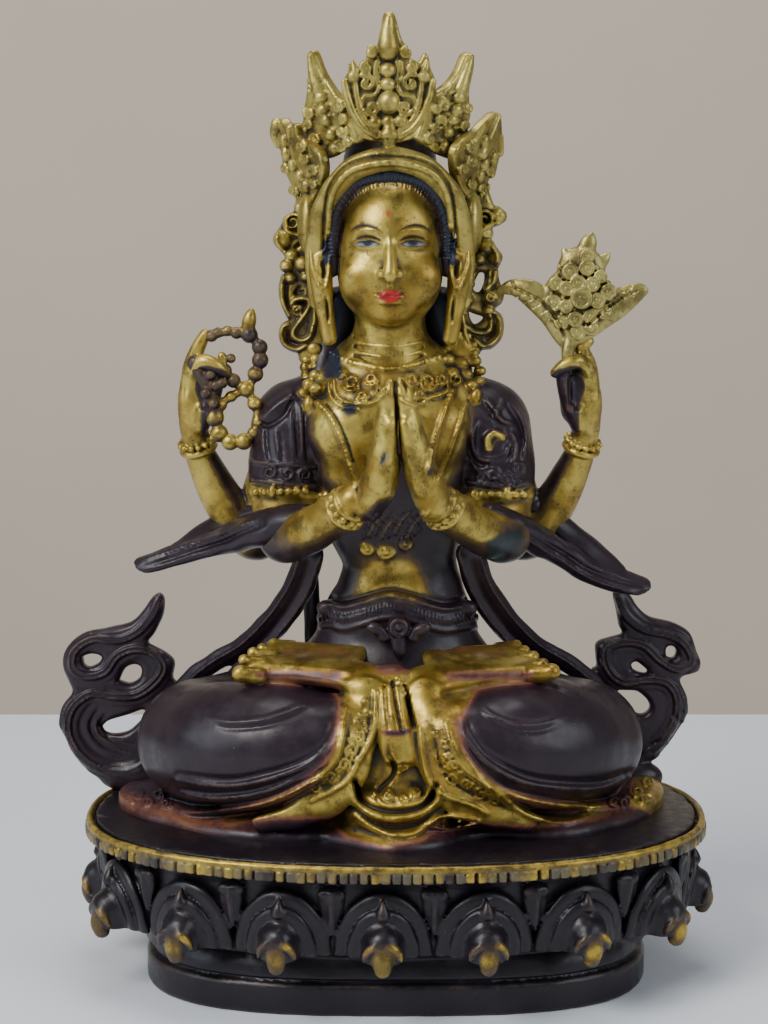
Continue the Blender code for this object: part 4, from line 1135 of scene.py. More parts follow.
# The joined hands, from the heel to the tips, by side
PALMS = {-1: [(-4.6, -26.2, 72.4, 3.5), (-2.1, -28.4, 77, 3.7), (-1.2, -29.6, 84, 3.3),
              (-0.5, -30.4, 91, 2.6), (0.1, -30.8, 97.8, 1.3)], 1: [(9.0, -26.2, 72.4, 3.5),
                                                                    (7.2, -28.4, 77, 3.6),
                                                                    (5.1, -29.6, 84, 3.2),
                                                                    (3.6, -30.4, 91, 2.6),
                                                                    (2.2, -30.8, 98.2, 1.3)]}


def build_arms(clay):
    for side in (-1, 1):
        upper = [(21, 1, 86, 9.3), (22.6, -1, 77, 8.8), (23.4, -3.5, 69, 7.2), (23.6, -6.5, 63.4, 5.6)]
        fore = [(23.4, -8.5, 62.8, 5.5), (18.5, -15.5, 65.0, 5.0), (12.5, -21.8, 69.4, 4.2),
                (8.6, -25.6, 73.2, 3.5)]
        clay.limb(sided(upper, side, 0.4), blend=1.0, gold=DARK, steps=8)
        clay.limb(sided(fore, side, 1.0), blend=1.5, gold=GOLD, fade=1.2, steps=8)
        clay.ball((side * 23.6 + 1.0, -8, 62.8), (5.6, 5.8, 5.6), blend=1.5, gold=0.9, fade=1.0)
        clay.limb(PALMS[side], flat=1.2, blend=0.25, gold=GOLD, steps=8)
        heel = Vector(PALMS[side][1][:3]) + Vector((side * 1.2, 1.2, -1.6))
        clay.ball(heel, (3.4, 3.8, 4.8), blend=0.8, gold=GOLD)
        thumb = [(x - side * 0.6, y - 2.9, z - 1.0, r * 0.42) for x, y, z, r in PALMS[side][1:4]]
        clay.limb(thumb, blend=1.0, gold=GOLD, steps=8)
        arm = [(20, 6, 84, 7.2), (26, 8, 72, 6.4), (29, 6, 61.5, 5.8), (32.5, 6, 62.5, 5.2),
               (37.4, 6, 69.3, 4.6), (40.6, 5, 76, 3.8), (42.5, 3.5, 81.5, 3.1), (43.2, 1.5, 87, 3.1),
               (43.4, 0, 92, 2.7)]
        clay.limb(sided(arm, side), blend=1.5, gold=GOLD, steps=8)
        # The raised hand, cupped inward
        outer = [(43.4, 0.6, 90, 2.7), (43.6, -0.6, 95, 2.2), (43.0, -1.6, 99.4, 1.9),
                 (41.6, -2.4, 103.2, 1.6)]
        outer += [(40.0, -3, 106.2, 1.2)] if side < 0 else [(43.2, -2.2, 104.6, 1.1)]
        clay.limb(sided(outer, side), blend=1.2, gold=GOLD, steps=8)
        heel = [(41.4, -1.0, 86.5, 2.2), (39.6, -2.6, 90.5, 2.3), (38.2, -3.2, 95.0, 2.0),
                (37.4, -3.6, 98.6, 1.5)]
        clay.limb(sided(heel, side), blend=1.4, gold=GOLD, steps=8)
        finger = [(42.9, -2.6, 98.4, 1.6), (40.6, -4.6, 100.4, 1.7), (37.8, -5.2, 99.6, 1.6),
                  (35.8, -4.6, 98.0, 1.2)]
        clay.limb(sided(finger, side), blend=0.6, gold=GOLD, steps=8)
        clay.ball((side * 40.6, -4.6, 94.2), (2.2, 2.6, 4.4), blend=0.8, cut_out=True)
        # The back of the cupped palm, left dark as painted shade inside the hand
        clay.ball((side * 40.0, -1.4, 93.2), (2.7, 1.5, 6.2), turn=(0, side * 12, 0), blend=0.8,
                  gold=DARK, fade=0.4)
        # The inside of the palm is painted dark: painted shade of the cupped hand
        palm = ((41.4, 98.6), (39.4, 99.2), (35.4, 98.0), (35.0, 95.1), (36.4, 91), (38, 86.4),
                (38.9, 83.0), (41.0, 83.6), (41.6, 91))
        clay.tint(sided(palm, side), 0.08, 0.7)
        for line in ([(39.8, 95.6), (40.0, 91.8), (39.8, 88.2)],
                     [(38.2, 96.2), (38.6, 92.4), (39.0, 89.2)]):
            clay.press(sided(line, side), 0.5, -0.4, y=(-20, 4))
        stain = ((29.4, 63), (30.6, 71), (33.9, 75.6), (37.6, 81.6), (39.6, 82.0), (40.0, 78.4),
                 (37.4, 73), (33.6, 66))
        clay.tint(sided(stain, side), 0.14, 1.4, y=(-60, 12))
        clay.press(sided([(44.8, 92), (44.2, 97), (42.4, 101.6)], side), 0.45, 0.3)


def crease_hands(clay):
    """The line where the joined hands meet, and the edge of the thumbs."""
    clay.press([(0.9, 98.6), (1.3, 92), (1.7, 86), (2.0, 80)], 0.55, 0.8, y=(-60, -24))
    clay.press([(2.6, 96.8), (3.3, 94.8), (3.6, 93)], 0.5, 0.6, y=(-60, -24), taper=0.5)


def build_bangles(clay):
    for side in (-1, 1):
        at = Vector((side * 9.8 + 1, -24.0, 71.4))
        along = Vector((side * -3.9, -4.2, 4.4)).normalized()
        for step, size in ((-1.4, 4.35), (1.4, 4.0)):
            clay.hoop(at + along * step, along, size, 0.62, blend=0.25, gold=GOLD)
        for spot in round_spots(at, along, 4.15, 13):
            clay.ball(spot, (0.85, 0.85, 0.85), blend=0.2, gold=GOLD)
        # Bangles of the raised arms
        at = Vector((side * 42.4, 3.6, 81.4))
        along = Vector((side * 1.3, -2.0, 5.6)).normalized()
        clay.hoop(at - along * 0.8, along, 3.6, 0.75, blend=0.3, gold=GOLD)
        for spot in round_spots(at + along * 0.9, along, 3.7, 14):
            clay.ball(spot, (0.8, 0.8, 0.8), blend=0.2, gold=GOLD)


def build_sleeves(clay):
    # Left: a smooth flap, upright folds and a border of scrolls over a gold armlet
    clay.press([(-21.6, 92.6), (-24.4, 90.9), (-27.8, 88.0)], 1.9, -0.9, y=(-60, 6))
    clay.press([(-21.4, 91.2), (-23.0, 88.4), (-26.4, 86.0), (-28.2, 86.6)], 0.8, 0.8, y=(-60, 6))
    for line in ([(-21.8, 90.6), (-21.3, 83.9), (-20.9, 78.4)],
                 [(-19.6, 90.2), (-19.3, 83.9), (-19.1, 78.4)], [(-28, 85.2), (-27.8, 81.4),
                                                                 (-27.2, 78.4)], [(-25.0, 84.5),
                                                                                  (-24.6, 81.4),
                                                                                  (-24.4, 78.6)]):
        clay.press(line, 0.8, -0.5, taper=0.4, y=(-60, 4))
        clay.press([(u + 0.9, v) for u, v in line], 0.6, 0.4, taper=0.4, y=(-60, 4))
    for rise in (0.0, -4.1):
        line = [(-30.4, 78.2 + rise), (-27.4, 77.8 + rise), (-22.4, 77.3 + rise), (-16.4, 76.9 + rise)]
        clay.press(line, 0.75, -0.7, y=(-60, 6))
    scrolls(clay, [(-26.4, 75.8), (-22.4, 75.5), (-18.6, 75.1)], 1.6, -0.9, 0.5)
    # Right: swirling folds round a gilt crescent
    for line in ([(19.1, 87.3), (18.1, 83.9), (18.5, 80.5), (20.4, 78.3), (23.4, 78.5), (25.9, 80.5),
                  (26.6, 83.6)], [(24.9, 91.6), (23.5, 88.9), (24.7, 87.0), (26.6, 86.4)],
                 [(26.6, 91.2), (29.0, 87.4), (30, 83), (29.4, 79)],
                 [(20.8, 92), (22.7, 89.8), (23.1, 88.1), (21.4, 87.3)],
                 [(17.9, 78.2), (19.2, 76.3), (20.8, 76.6), (22.2, 78)],
                 [(26.4, 84.8), (27.6, 82.2), (27.2, 78.8), (25, 76.6)]):
        clay.press(line, 1.0, -0.8, taper=0.5, y=(-60, 6))
        clay.press([(u - 0.9, v - 0.7) for u, v in line], 0.9, 0.5, taper=0.5, y=(-60, 6))
    scrolls(clay, [(22.6, 75.2), (25.8, 74.4), (28.6, 76.6), (20.2, 74.4), (28.4, 73.2)], 1.6, -0.6, 0.55)
    clay.press([(21.2, 80.8), (21.3, 83.2), (22.9, 84.3), (24.9, 83.4)], 1.25, -1.2, taper=0.3)
    clay.press([(17, 73.6), (22, 72.6), (27, 72.4), (30.6, 73.4)], 0.8, -0.7, y=(-60, 6))
    # Armlets
    clay.press([(-30.6, 71.4), (-26, 71.2), (-20, 70.6), (-14.6, 70.2)], 1.6, -0.7, y=(-60, 6))
    clay.press([(14.6, 70.0), (20, 70.2), (26, 70.4), (31, 70.8)], 1.6, -0.7, y=(-60, 6))
    for side, rise in ((-1, 0.0), (1, -0.6)):
        for n in range(7):
            u = side * (18.6 + 1.8 * n)
            at = clay.seat(u, 71.6 + rise - 0.05 * n)
            clay.ball(at, (0.9, 0.8, 0.9 if n != 4 else 1.5), blend=0.25, gold=GOLD)


ARM_GOLD = [(-32, 73.6), (-27, 73.4), (-22, 72.9), (-15, 72.4), (-12, 69), (-14, 58), (-26, 54),
            (-33, 60)]


def paint_arms(clay):
    clay.tint(ARM_GOLD, GOLD, 0.7)
    clay.tint([(16, 72.6), (22, 72.0), (27, 71.8), (31.6, 72.6), (33, 60), (26, 54), (14, 58)], GOLD, 0.7)
    clay.tint([(21.0, 80.3), (20.8, 83.2), (22.6, 85.1), (25.4, 84.0), (25.2, 82.6), (23.2, 82.8),
               (22.4, 80.5)], GOLD, 0.35)
    for side in (-1, 1):
        elbow = [(22.6, 65), (26, 67), (32, 66), (31, 56), (25, 56), (22.6, 60)]
        clay.tint(sided(elbow, side, 0.5), 0.30, 3.0)
        # Less gold just under the forearms: painted shade
        under = [(12, 62.4), (18, 59.8), (24, 57.6), (24, 55), (14, 56), (9, 61)]
        clay.tint(sided(under, side, 0.5), 0.36, 2.4)


# Head

HAIRLINE = [(-12.2, 121), (-12.3, 128.7), (-11.6, 133.3), (-10.2, 136.1), (-7.3, 137.9), (-3, 138.7),
            (2.7, 138.6), (6.3, 137.6), (8.8, 135.8), (10.6, 132.9), (11.7, 128.7), (12.0, 121)]
EYE_ACROSS = 4.9
EYE_UP = 125.9
LID = [(-2.8, -0.5), (-1.5, 0.08), (0.1, 0.28), (1.7, 0.10), (3.0, -0.35)]
LOWER_LID = [(-2.8, -0.5), (-1.3, -0.86), (0.4, -1.0), (1.9, -0.80), (3.0, -0.35)]
BROW = [(-3.3, 1.9), (-1.6, 3.2), (0.6, 3.7), (2.6, 3.2), (4.0, 2.0)]


def beside(rows, side):
    """Points about an eye, given from its middle outward, on one side of the face."""
    return [(side * (EYE_ACROSS + u) + 0.05, EYE_UP + v) for u, v in rows]


def build_face(clay):
    for side in (-1, 1):
        socket, eyeball = (side * EYE_ACROSS, -17.4, 126.6), (side * EYE_ACROSS, -12.0, 126.1)
        clay.ball(socket, (4.0, 2.6, 2.6), turn=(0, side * 8, 0), blend=1.4, cut_out=True)
        clay.ball(eyeball, (3.1, 2.5, 2.1), blend=0.7, gold=GOLD)
        clay.press([(u, v - 0.9) for u, v in beside(BROW, side)], 1.5, -0.45, taper=0.8)
        clay.press(beside(BROW, side), 0.55, 0.22, taper=0.5)
        clay.press(beside(LID, side), 0.75, -0.5, taper=0.3)
        clay.press([(u, v + 0.85) for u, v in beside(LID, side)], 0.45, 0.35, taper=0.5)
        clay.press([(u, v - 0.25) for u, v in beside(LOWER_LID, side)], 0.5, -0.28, taper=0.4)
        clay.ball((side * 6.0, -12.0, 118.6), (4.6, 3.4, 4.6), blend=2.4, gold=GOLD)
        clay.ball((side * 1.75, -16.8, 119.7), (1.15, 1.25, 1.0), blend=0.6, gold=GOLD)
        clay.ball((side * 1.0, -18.0, 118.7), (0.5, 0.7, 0.32), blend=0.2, cut_out=True)
        clay.press([(side * 0.35, 117.6), (side * 0.4, 116.2)], 0.4, -0.2, steps=2)
        # Lips
        clay.ball((side * 1.3, -16.1, 115.2), (1.9, 1.15, 0.62), turn=(0, side * 10, 0), blend=0.4)
        clay.ball((side * 0.9, -16.0, 113.8), (1.6, 1.1, 0.75), blend=0.5)
    clay.press([(-2.9, 114.9), (-1.3, 114.35), (0, 114.5), (1.3, 114.35), (2.9, 114.9)], 0.42, 0.4,
               taper=0.3)
    clay.press([(-2.0, 112.3), (0, 111.9), (2.0, 112.3)], 0.8, 0.25, taper=0.5)


def thread(rows, width, taper=0.6):
    """The outline of a painted line that thins towards its ends."""
    path = smooth_path(rows, 5)
    steps = np.gradient(path, axis=0)
    sides = np.stack([-steps[:, 1], steps[:, 0]], axis=1) / np.maximum(np.hypot(*steps.T), 1e-6)[:, None]
    share = np.sin(np.pi * (np.arange(len(path)) + 0.5) / len(path)) ** taper
    edge = sides * (0.5 * width * share)[:, None]
    return np.concatenate([path + edge, (path - edge)[::-1]])


def brushed(clay, strokes, farthest):
    """A painter of seen outlines on the part of a form in front of a depth. Each stroke is an outline, a
    colour and the width of its soft edge."""
    def paint(verts, colours):
        u, v = clay.seen(verts[:, 0], verts[:, 1], verts[:, 2])
        facing = verts[:, 1] < farthest
        for outline, colour, fade in strokes:
            outline = np.array(outline, float)
            low, high = outline.min(axis=0) - 1, outline.max(axis=0) + 1
            near = facing & (u > low[0]) & (u < high[0]) & (v > low[1]) & (v < high[1])
            share = np.clip(0.5 - outline_gap(outline, u[near], v[near]) / (2 * fade), 0, 1)[:, None]
            colours[near] += (np.array([*colour, 1.0]) - colours[near]) * share
    return paint


NAVY = (0.010, 0.014, 0.028)
INK = (0.012, 0.010, 0.012)
EYE_WHITE = (0.26, 0.27, 0.28)
IRIS = (0.035, 0.045, 0.055)
LIP_RED = (0.34, 0.014, 0.012)
LIP_LINE = (0.12, 0.01, 0.01)
DOT_RED = (0.52, 0.02, 0.012)


def painted_face(clay):
    strokes = []
    for side in (-1, 1):
        middle, up = side * EYE_ACROSS + 0.05, EYE_UP - 0.05
        strokes.append((beside([*LID, *LOWER_LID[::-1]], side), EYE_WHITE, 0.12))
        iris = [(u, np.clip(v, EYE_UP - 0.9, EYE_UP + 0.22)) for u, v in disc(middle, up, 1.05, 1.0, 16)]
        strokes.append((iris, IRIS, 0.12))
        strokes.append((disc(middle, up, 0.5, 0.5, 12), INK, 0.10))
        for line, width, fade in ((LID, 0.62, 0.12), (LOWER_LID, 0.28, 0.12), (BROW, 0.62, 0.14)):
            strokes.append((thread(beside(line, side), width), INK, fade))
    lips = [(-2.9, 114.7), (-1.5, 115.5), (-0.5, 115.75), (0, 115.45), (0.5, 115.75), (1.5, 115.5),
            (2.9, 114.7), (1.7, 113.2), (0, 112.6), (-1.7, 113.2)]
    strokes.append((lips, LIP_RED, 0.16))
    parting = [(-2.6, 114.7), (-1.3, 114.35), (0, 114.5), (1.3, 114.35), (2.6, 114.7)]
    strokes.append((thread(parting, 0.3), LIP_LINE, 0.12))
    strokes.append((disc(-0.2, 132.0, 0.62, 0.62, 14), DOT_RED, 0.14))
    front = brushed(clay, strokes, farthest=-9.0)
    over = [(-14.8, 121), (-14.8, 136), (-12, 142), (-6, 145.4), (0, 146.4), (6, 145.4), (12, 142),
            (14.6, 136), (14.4, 121)]
    hair = brushed(clay, [([*over, *HAIRLINE[::-1]], NAVY, 0.12)], farthest=-1.5)

    def paint(verts, colours):
        hair(verts, colours)
        front(verts, colours)
        behind = (verts[:, 1] > -1.5) & (np.abs(verts[:, 0]) < 14.4) & (verts[:, 2] > 104)
        colours[behind] = (*NAVY, 1.0)
    return paint


def build_head():
    clay = Clay((-19.5, -21.5, 90), (19.5, 18, 165.4), 0.28)
    clay.ball((0, -2, 126), (12.3, 13.6, 16), blend=1, gold=GOLD)
    clay.ball((0, -6, 117.5), (10.8, 10.6, 9.4), blend=2.5, gold=GOLD)
    clay.ball((0, -12.2, 111.6), (4.4, 3.8, 3.0), blend=2, gold=GOLD)
    clay.limb([(0, -2, 96, 8.6), (0, -2.5, 106, 7.7), (0, -3, 114, 7.6)], blend=1.5, gold=GOLD, steps=8)
    clay.limb([(0, -13.8, 128.4, 0.8), (0, -16.2, 124, 1.15), (0, -17.8, 120.4, 1.55),
               (0, -17.9, 119.6, 1.6)], blend=1.1, gold=GOLD)
    clay.ball((0, -15.2, 114.6), (3.4, 1.5, 2.0), blend=1.2, gold=GOLD)
    build_face(clay)
    clay.ball((0, 1.5, 131), (14.2, 13.5, 14), blend=0.25, gold=DARK, fade=0.2)
    clay.limb([(0, 4, 138, 11), (0, 5, 147, 9.2), (0, 5, 154, 6.8), (0, 5, 158, 4.2), (0, 5, 161, 2.6)],
              blend=2, gold=DARK)
    clay.ball((0, 9, 104), (15, 6, 15), blend=2, gold=DARK)
    clay.limb([(-12.2, -7, 120, 1.3), (-12.0, -9.2, 128, 1.5), (-10.9, -11.6, 134, 1.6),
               (-7.2, -13.6, 138.6, 1.7), (0, -14.6, 140.4, 1.8), (7.2, -13.6, 138.6, 1.7),
               (10.7, -11.6, 134, 1.6), (11.8, -9.2, 128, 1.5), (12.0, -7, 120, 1.3)], blend=0.3,
              gold=DARK, steps=8)
    for n in range(66):
        angle = math.radians(-18 + 216 * (n + chance.uniform(-0.2, 0.2)) / 65)
        foot = (-0.2 + 11.4 * math.cos(angle), 126.5 + 11.6 * math.sin(angle))
        top = (-0.2 + 14.6 * math.cos(angle), 127.5 + 16.2 * math.sin(angle))
        clay.press([foot, top], 0.30, 0.35, y=(-18, 0), steps=1)
    for side in (-1, 1):
        ear = [(14.8, -7.0, 125.2, 1.9), (14.9, -7.6, 121, 2.5), (14.4, -7.8, 115, 2.2),
               (13.6, -7.6, 109.6, 1.8), (13.0, -7.6, 105.8, 1.7)]
        clay.limb(sided(ear, side), blend=0.5, gold=GOLD, steps=8)
        clay.limb([(side * 11, 4, 112, 4.2), (side * 13.5, 3, 102, 4.0), (side * 15, -1, 95, 3.4)],
                  blend=1, gold=DARK)
        scroll = [(14.9, 123.5), (14.0, 124.6), (14.2, 126.1), (15.6, 126.8), (17.0, 125.4),
                  (17.1, 121.6), (16.3, 118.7), (15.0, 115.6)]
        for line, width, depth, taper in ((scroll, 0.6, -0.9, 0.2),
                                          ([(14.7, 121.6), (14.4, 119.8), (14.5, 118.4)], 0.7, 1.3, 0.3),
                                          ([(13.0, 122.6), (13.3, 119), (14.0, 116.2), (15.4, 116.6)],
                                           0.5, -0.5, 0.0), ([(13.9, 114.0), (13.6, 111.2),
                                                              (13.5, 108.6)], 0.5, 0.9, 0.4)):
            clay.press(sided(line, side), width, depth, y=(-20, 0), taper=taper)
    return clay


# Crown

BAND = [(-16.0, -4.4, 113, 1.3), (-16.2, -6.0, 118, 1.7), (-15.9, -8.2, 125, 2.2),
        (-13.7, -11.6, 134, 2.4), (-8.4, -15.2, 141, 2.5)]
FRONT_LEAF = [(-1.8, 147.1), (-5.9, 148.1), (-8, 151.1), (-9.6, 154.8), (-10.3, 158.1), (-10.1, 160.4),
    (-9, 162.2), (-8.9, 163.9), (-8, 163.7), (-6.9, 163.2), (-5.3, 164.3), (-4.9, 166.3), (-3.7, 167.3),
    (-2.5, 167.6), (-1.6, 173.8), (-0.5, 174.7), (0.9, 174.3), (2.5, 169.1), (3.4, 167.7), (3.9, 165.6),
    (5.2, 164.4), (6.1, 164.3), (6.8, 165.6), (7.5, 166.3), (8.4, 165), (8.7, 162.9), (9.7, 160.4),
    (9.8, 157.6), (8.9, 154.5), (7.2, 150.6), (5.2, 148.1), (1.6, 147.1)]
LEFT_LEAF = [(-8.5, 146.7), (-13.7, 143.6), (-17.3, 145.7), (-18.6, 149.2), (-19, 152), (-18.6, 154.8),
    (-18.2, 157.6), (-17.9, 159.7), (-17.7, 162.2), (-18, 165.6), (-17, 166.6), (-16.1, 165.3),
    (-14.7, 161.8), (-12.6, 158.3), (-10.8, 156.2), (-9.8, 154.5), (-8.2, 151), (-6.9, 147.4)]
RIGHT_LEAF = [(5.9, 148.1), (7.7, 152.7), (9.1, 156.2), (10.9, 158.1), (13, 159.7), (14.8, 162.2),
    (16.2, 165.3), (17.4, 166.1), (18.2, 165), (18, 161.8), (17.2, 157.6), (17.6, 153.4), (17, 150.6),
    (16.8, 148.1), (14.8, 143.6), (11.3, 144.3), (7.7, 146.4)]
LEFT_BACK_LEAF = [(-25.7, 149.2), (-25.2, 151.5), (-23.7, 152.1), (-22.6, 151), (-20.6, 150.9),
    (-20, 148.5), (-18.7, 147.4), (-16.2, 145.7), (-14.8, 142.9), (-14.8, 139.3), (-16.2, 135.8),
    (-17.3, 134), (-19.1, 134.7), (-21.2, 137.6), (-22.3, 139.7), (-23.4, 142.9), (-23.6, 145),
    (-24.9, 147.1)]
RIGHT_BACK_LEAF = [(16.4, 148.1), (18.7, 149.4), (20.9, 151.8), (23.2, 153.5), (24.1, 152.2),
    (24.3, 148.1), (23.8, 144.3), (22.9, 140.4), (21.5, 139.1), (21.1, 136.1), (19.9, 133.3), (17, 135.1),
    (14.9, 138.6), (14.1, 142.1), (14.5, 145.7)]


class Leaf:
    """A crown leaf: a thin plate that leans back and turns, with relief on its front."""

    def __init__(self, clay, foot, turn, lean, half, outline):
        self.clay = clay
        self.half = half
        turned_to = Matrix.Rotation(math.radians(turn), 4, "Z") @ Matrix.Rotation(math.radians(lean), 4,
                                                                                  "X")
        self.at = Matrix.Translation(foot) @ turned_to
        self.back = self.at.inverted()
        self.front = self.at.to_3x3() @ Vector((0, -1, 0))
        rows = np.array([self.spot(u, v) for u, v in smooth_path([*outline, outline[0]], 3)])[:, [0, 2]]
        reach = np.abs(rows).max() + REACH
        centre = self.at.translation
        cut, x, y, z = clay.window([c - reach for c in centre], [c + reach for c in centre])
        across, through, up = (row[0] * x + row[1] * y + row[2] * z + row[3]
                               for row in list(self.back)[:3])
        near = np.abs(through) < half + REACH
        gap = np.full(near.shape, REACH, np.float32)
        gap[near] = outline_gap(rows, across[near], up[near])
        side, face = gap + 0.6, np.abs(through) - half + 0.6
        distance = np.hypot(np.maximum(side, 0), np.maximum(face, 0)) + np.minimum(np.maximum(side,
                                                                                              face),
                                                                                   0) - 0.6
        clay.join(cut, distance.astype(np.float32), 0.4, GOLD, 0.3)

    def spot(self, u, v, lift=0.0):
        """The point on the front that shows at (u, v), in the leaf's own frame."""
        eye = Vector(self.clay.eye)
        ray = Vector((u, 0, v)) - eye
        face = self.at.translation + self.front * (self.half + lift)
        return self.back @ (eye + ray * ((face - eye).dot(self.front) / ray.dot(self.front)))

    def bead(self, u, v, size, tall=None, lift=0.0):
        self.clay.ball(self.spot(u, v, lift), (size, size * 0.8, tall or size), at=self.at, blend=0.15,
                       gold=GOLD)

    def ring(self, u, v, size, thick):
        spot = self.spot(u, v, 0.5)
        angles = np.linspace(0, math.tau, 17)
        rows = [(spot.x + size * math.cos(a), spot.y, spot.z + size * math.sin(a), thick) for a in angles]
        self.clay.limb(rows, at=self.at, blend=0.12, gold=GOLD, steps=2)

    def rib(self, rows, thick, end=0.5, lift=0.0, steps=5):
        """A raised line along seen points that thins towards its last one."""
        path = smooth_path(rows, steps)
        sizes = np.linspace(thick, thick * end, len(path))
        spots = [(*self.spot(u, v, lift), size) for (u, v), size in zip(path, sizes)]
        self.clay.limb(spots, at=self.at, blend=0.12, gold=GOLD, steps=1)

    def curl(self, u, v, size, start, hand):
        """A scroll with a bead in its middle."""
        self.rib(spiral((u, v), size, start, 1.1, hand), 0.56, 0.85, 0.4, steps=1)
        self.bead(u, v, 0.55, lift=0.5)


def front_leaf(clay):
    leaf = Leaf(clay, (0, -15.6, 145.0), 0, 2, 1.1, FRONT_LEAF)
    leaf.rib([(-0.3, 167.4), (-0.4, 170.6), (-0.2, 173.2)], 2.3, 0.45)
    for v, size in ((166.0, 1.7), (162.6, 1.75), (159.5, 1.65)):
        leaf.bead(-0.5, v, size, size * 0.85, 0.3)
        for side in (-1, 1):
            leaf.rib([(-0.5 + side * 1.9, v + 1.6), (-0.5 + side * 2.2, v),
                      (-0.5 + side * 1.8, v - 1.7)], 0.4)
    leaf.bead(-0.3, 155.7, 2.3, 2.3, 0.2)
    leaf.ring(-0.3, 155.7, 2.0, 0.42)
    leaf.bead(-0.3, 155.7, 1.3, 1.3, 0.9)
    for u, v, size in ((-3.2, 151.4, 1.5), (-0.4, 151.6, 1.35), (2.4, 151.7, 1.5)):
        leaf.bead(u, v, size, size, 0.2)
    leaf.bead(-0.2, 148.9, 2.1, 1.5, 0.2)
    leaf.rib([(-0.2, 150), (-0.2, 147.2)], 1.5, 0.9)
    outer = [(9.5, 160.0), (8.7, 156.6), (7.3, 153.1), (5.1, 150.1), (2.4, 148.4)]
    inner = [(7.2, 160.6), (6.8, 157.0), (6.0, 153.6), (4.2, 151.0), (2.2, 149.6)]
    for side in (-1, 1):
        leaf.rib(sided(outer, side, -0.3), 0.75, 0.9, 0.1)
        leaf.rib(sided(inner, side, -0.3), 0.6, 0.9, 0.2)
        leaf.bead(side * 7.6 - 0.3, 161.1, 1.35, 1.35, 0.4)
        leaf.rib(sided([(7.4, 162.2), (8.1, 164.6)], side), 0.9, 0.35)
        leaf.curl(side * 4.8 - 0.3, 159.8, 1.9, 60 if side > 0 else 120, side)
        leaf.curl(side * 3.6 - 0.3, 154.6, 1.7, -20 if side > 0 else 200, -side)
        leaf.curl(side * 3.8 - 0.3, 166.2, 1.2, 100, side)
        leaf.curl(side * 4.8 - 0.3, 163.0, 1.3, 90, -side)
        hook = [(2.0, 158.9), (2.9, 157.4), (5.2, 156.9), (5.8, 154.8), (4.7, 152.9)]
        leaf.rib(sided(hook, side, -0.3), 0.5, 0.8)
        leaf.rib(sided([(2.5, 164.3), (3.0, 161.8), (2.4, 160.0)], side, -0.3), 0.45, 0.8)


def side_leaf(clay, side, outline, horn, beads, curls, stripes):
    """A leaf beside the front one, with a row of beads up its middle."""
    leaf = Leaf(clay, (side * 12.4, -7.0, 138.5), side * 46, 11, 1.1, outline)
    leaf.rib(horn, 1.7, 0.45)
    for n, (u, v) in enumerate(beads):
        leaf.bead(u, v, 1.75 - 0.1 * n, 1.35, 0.35)
        leaf.rib([(u - 1.8, v + 1.0), (u, v + 1.55), (u + 1.8, v + 1.0)], 0.35, 1.0)
    for n, (u, v, size) in enumerate(curls):
        leaf.curl(u, v, size, 90 + 75 * n, 1 if n % 2 else -1)
    for line in stripes:
        leaf.rib(line, 0.4, 0.6)


def back_leaf(clay, side, outline, ribs, lobes, curls):
    """One of the two leaves over the ears."""
    leaf = Leaf(clay, (side * 17.6, 2.0, 129.8), side * 62, 14, 1.1, outline)
    for line, size in ribs:
        leaf.rib(line, size, 0.5)
    for u, v, size in lobes:
        leaf.bead(u, v, size, size * 1.25, 0.3)
    for n, (u, v, size) in enumerate(curls):
        leaf.curl(u, v, size, 60 + 80 * n, 1 if n % 2 else -1)


def whole_arch(rows):
    """Adds the other half of an arch that is given up to its middle."""
    return [*rows, *[(-u - 0.2, v) for u, v in reversed(rows[:-1])]]


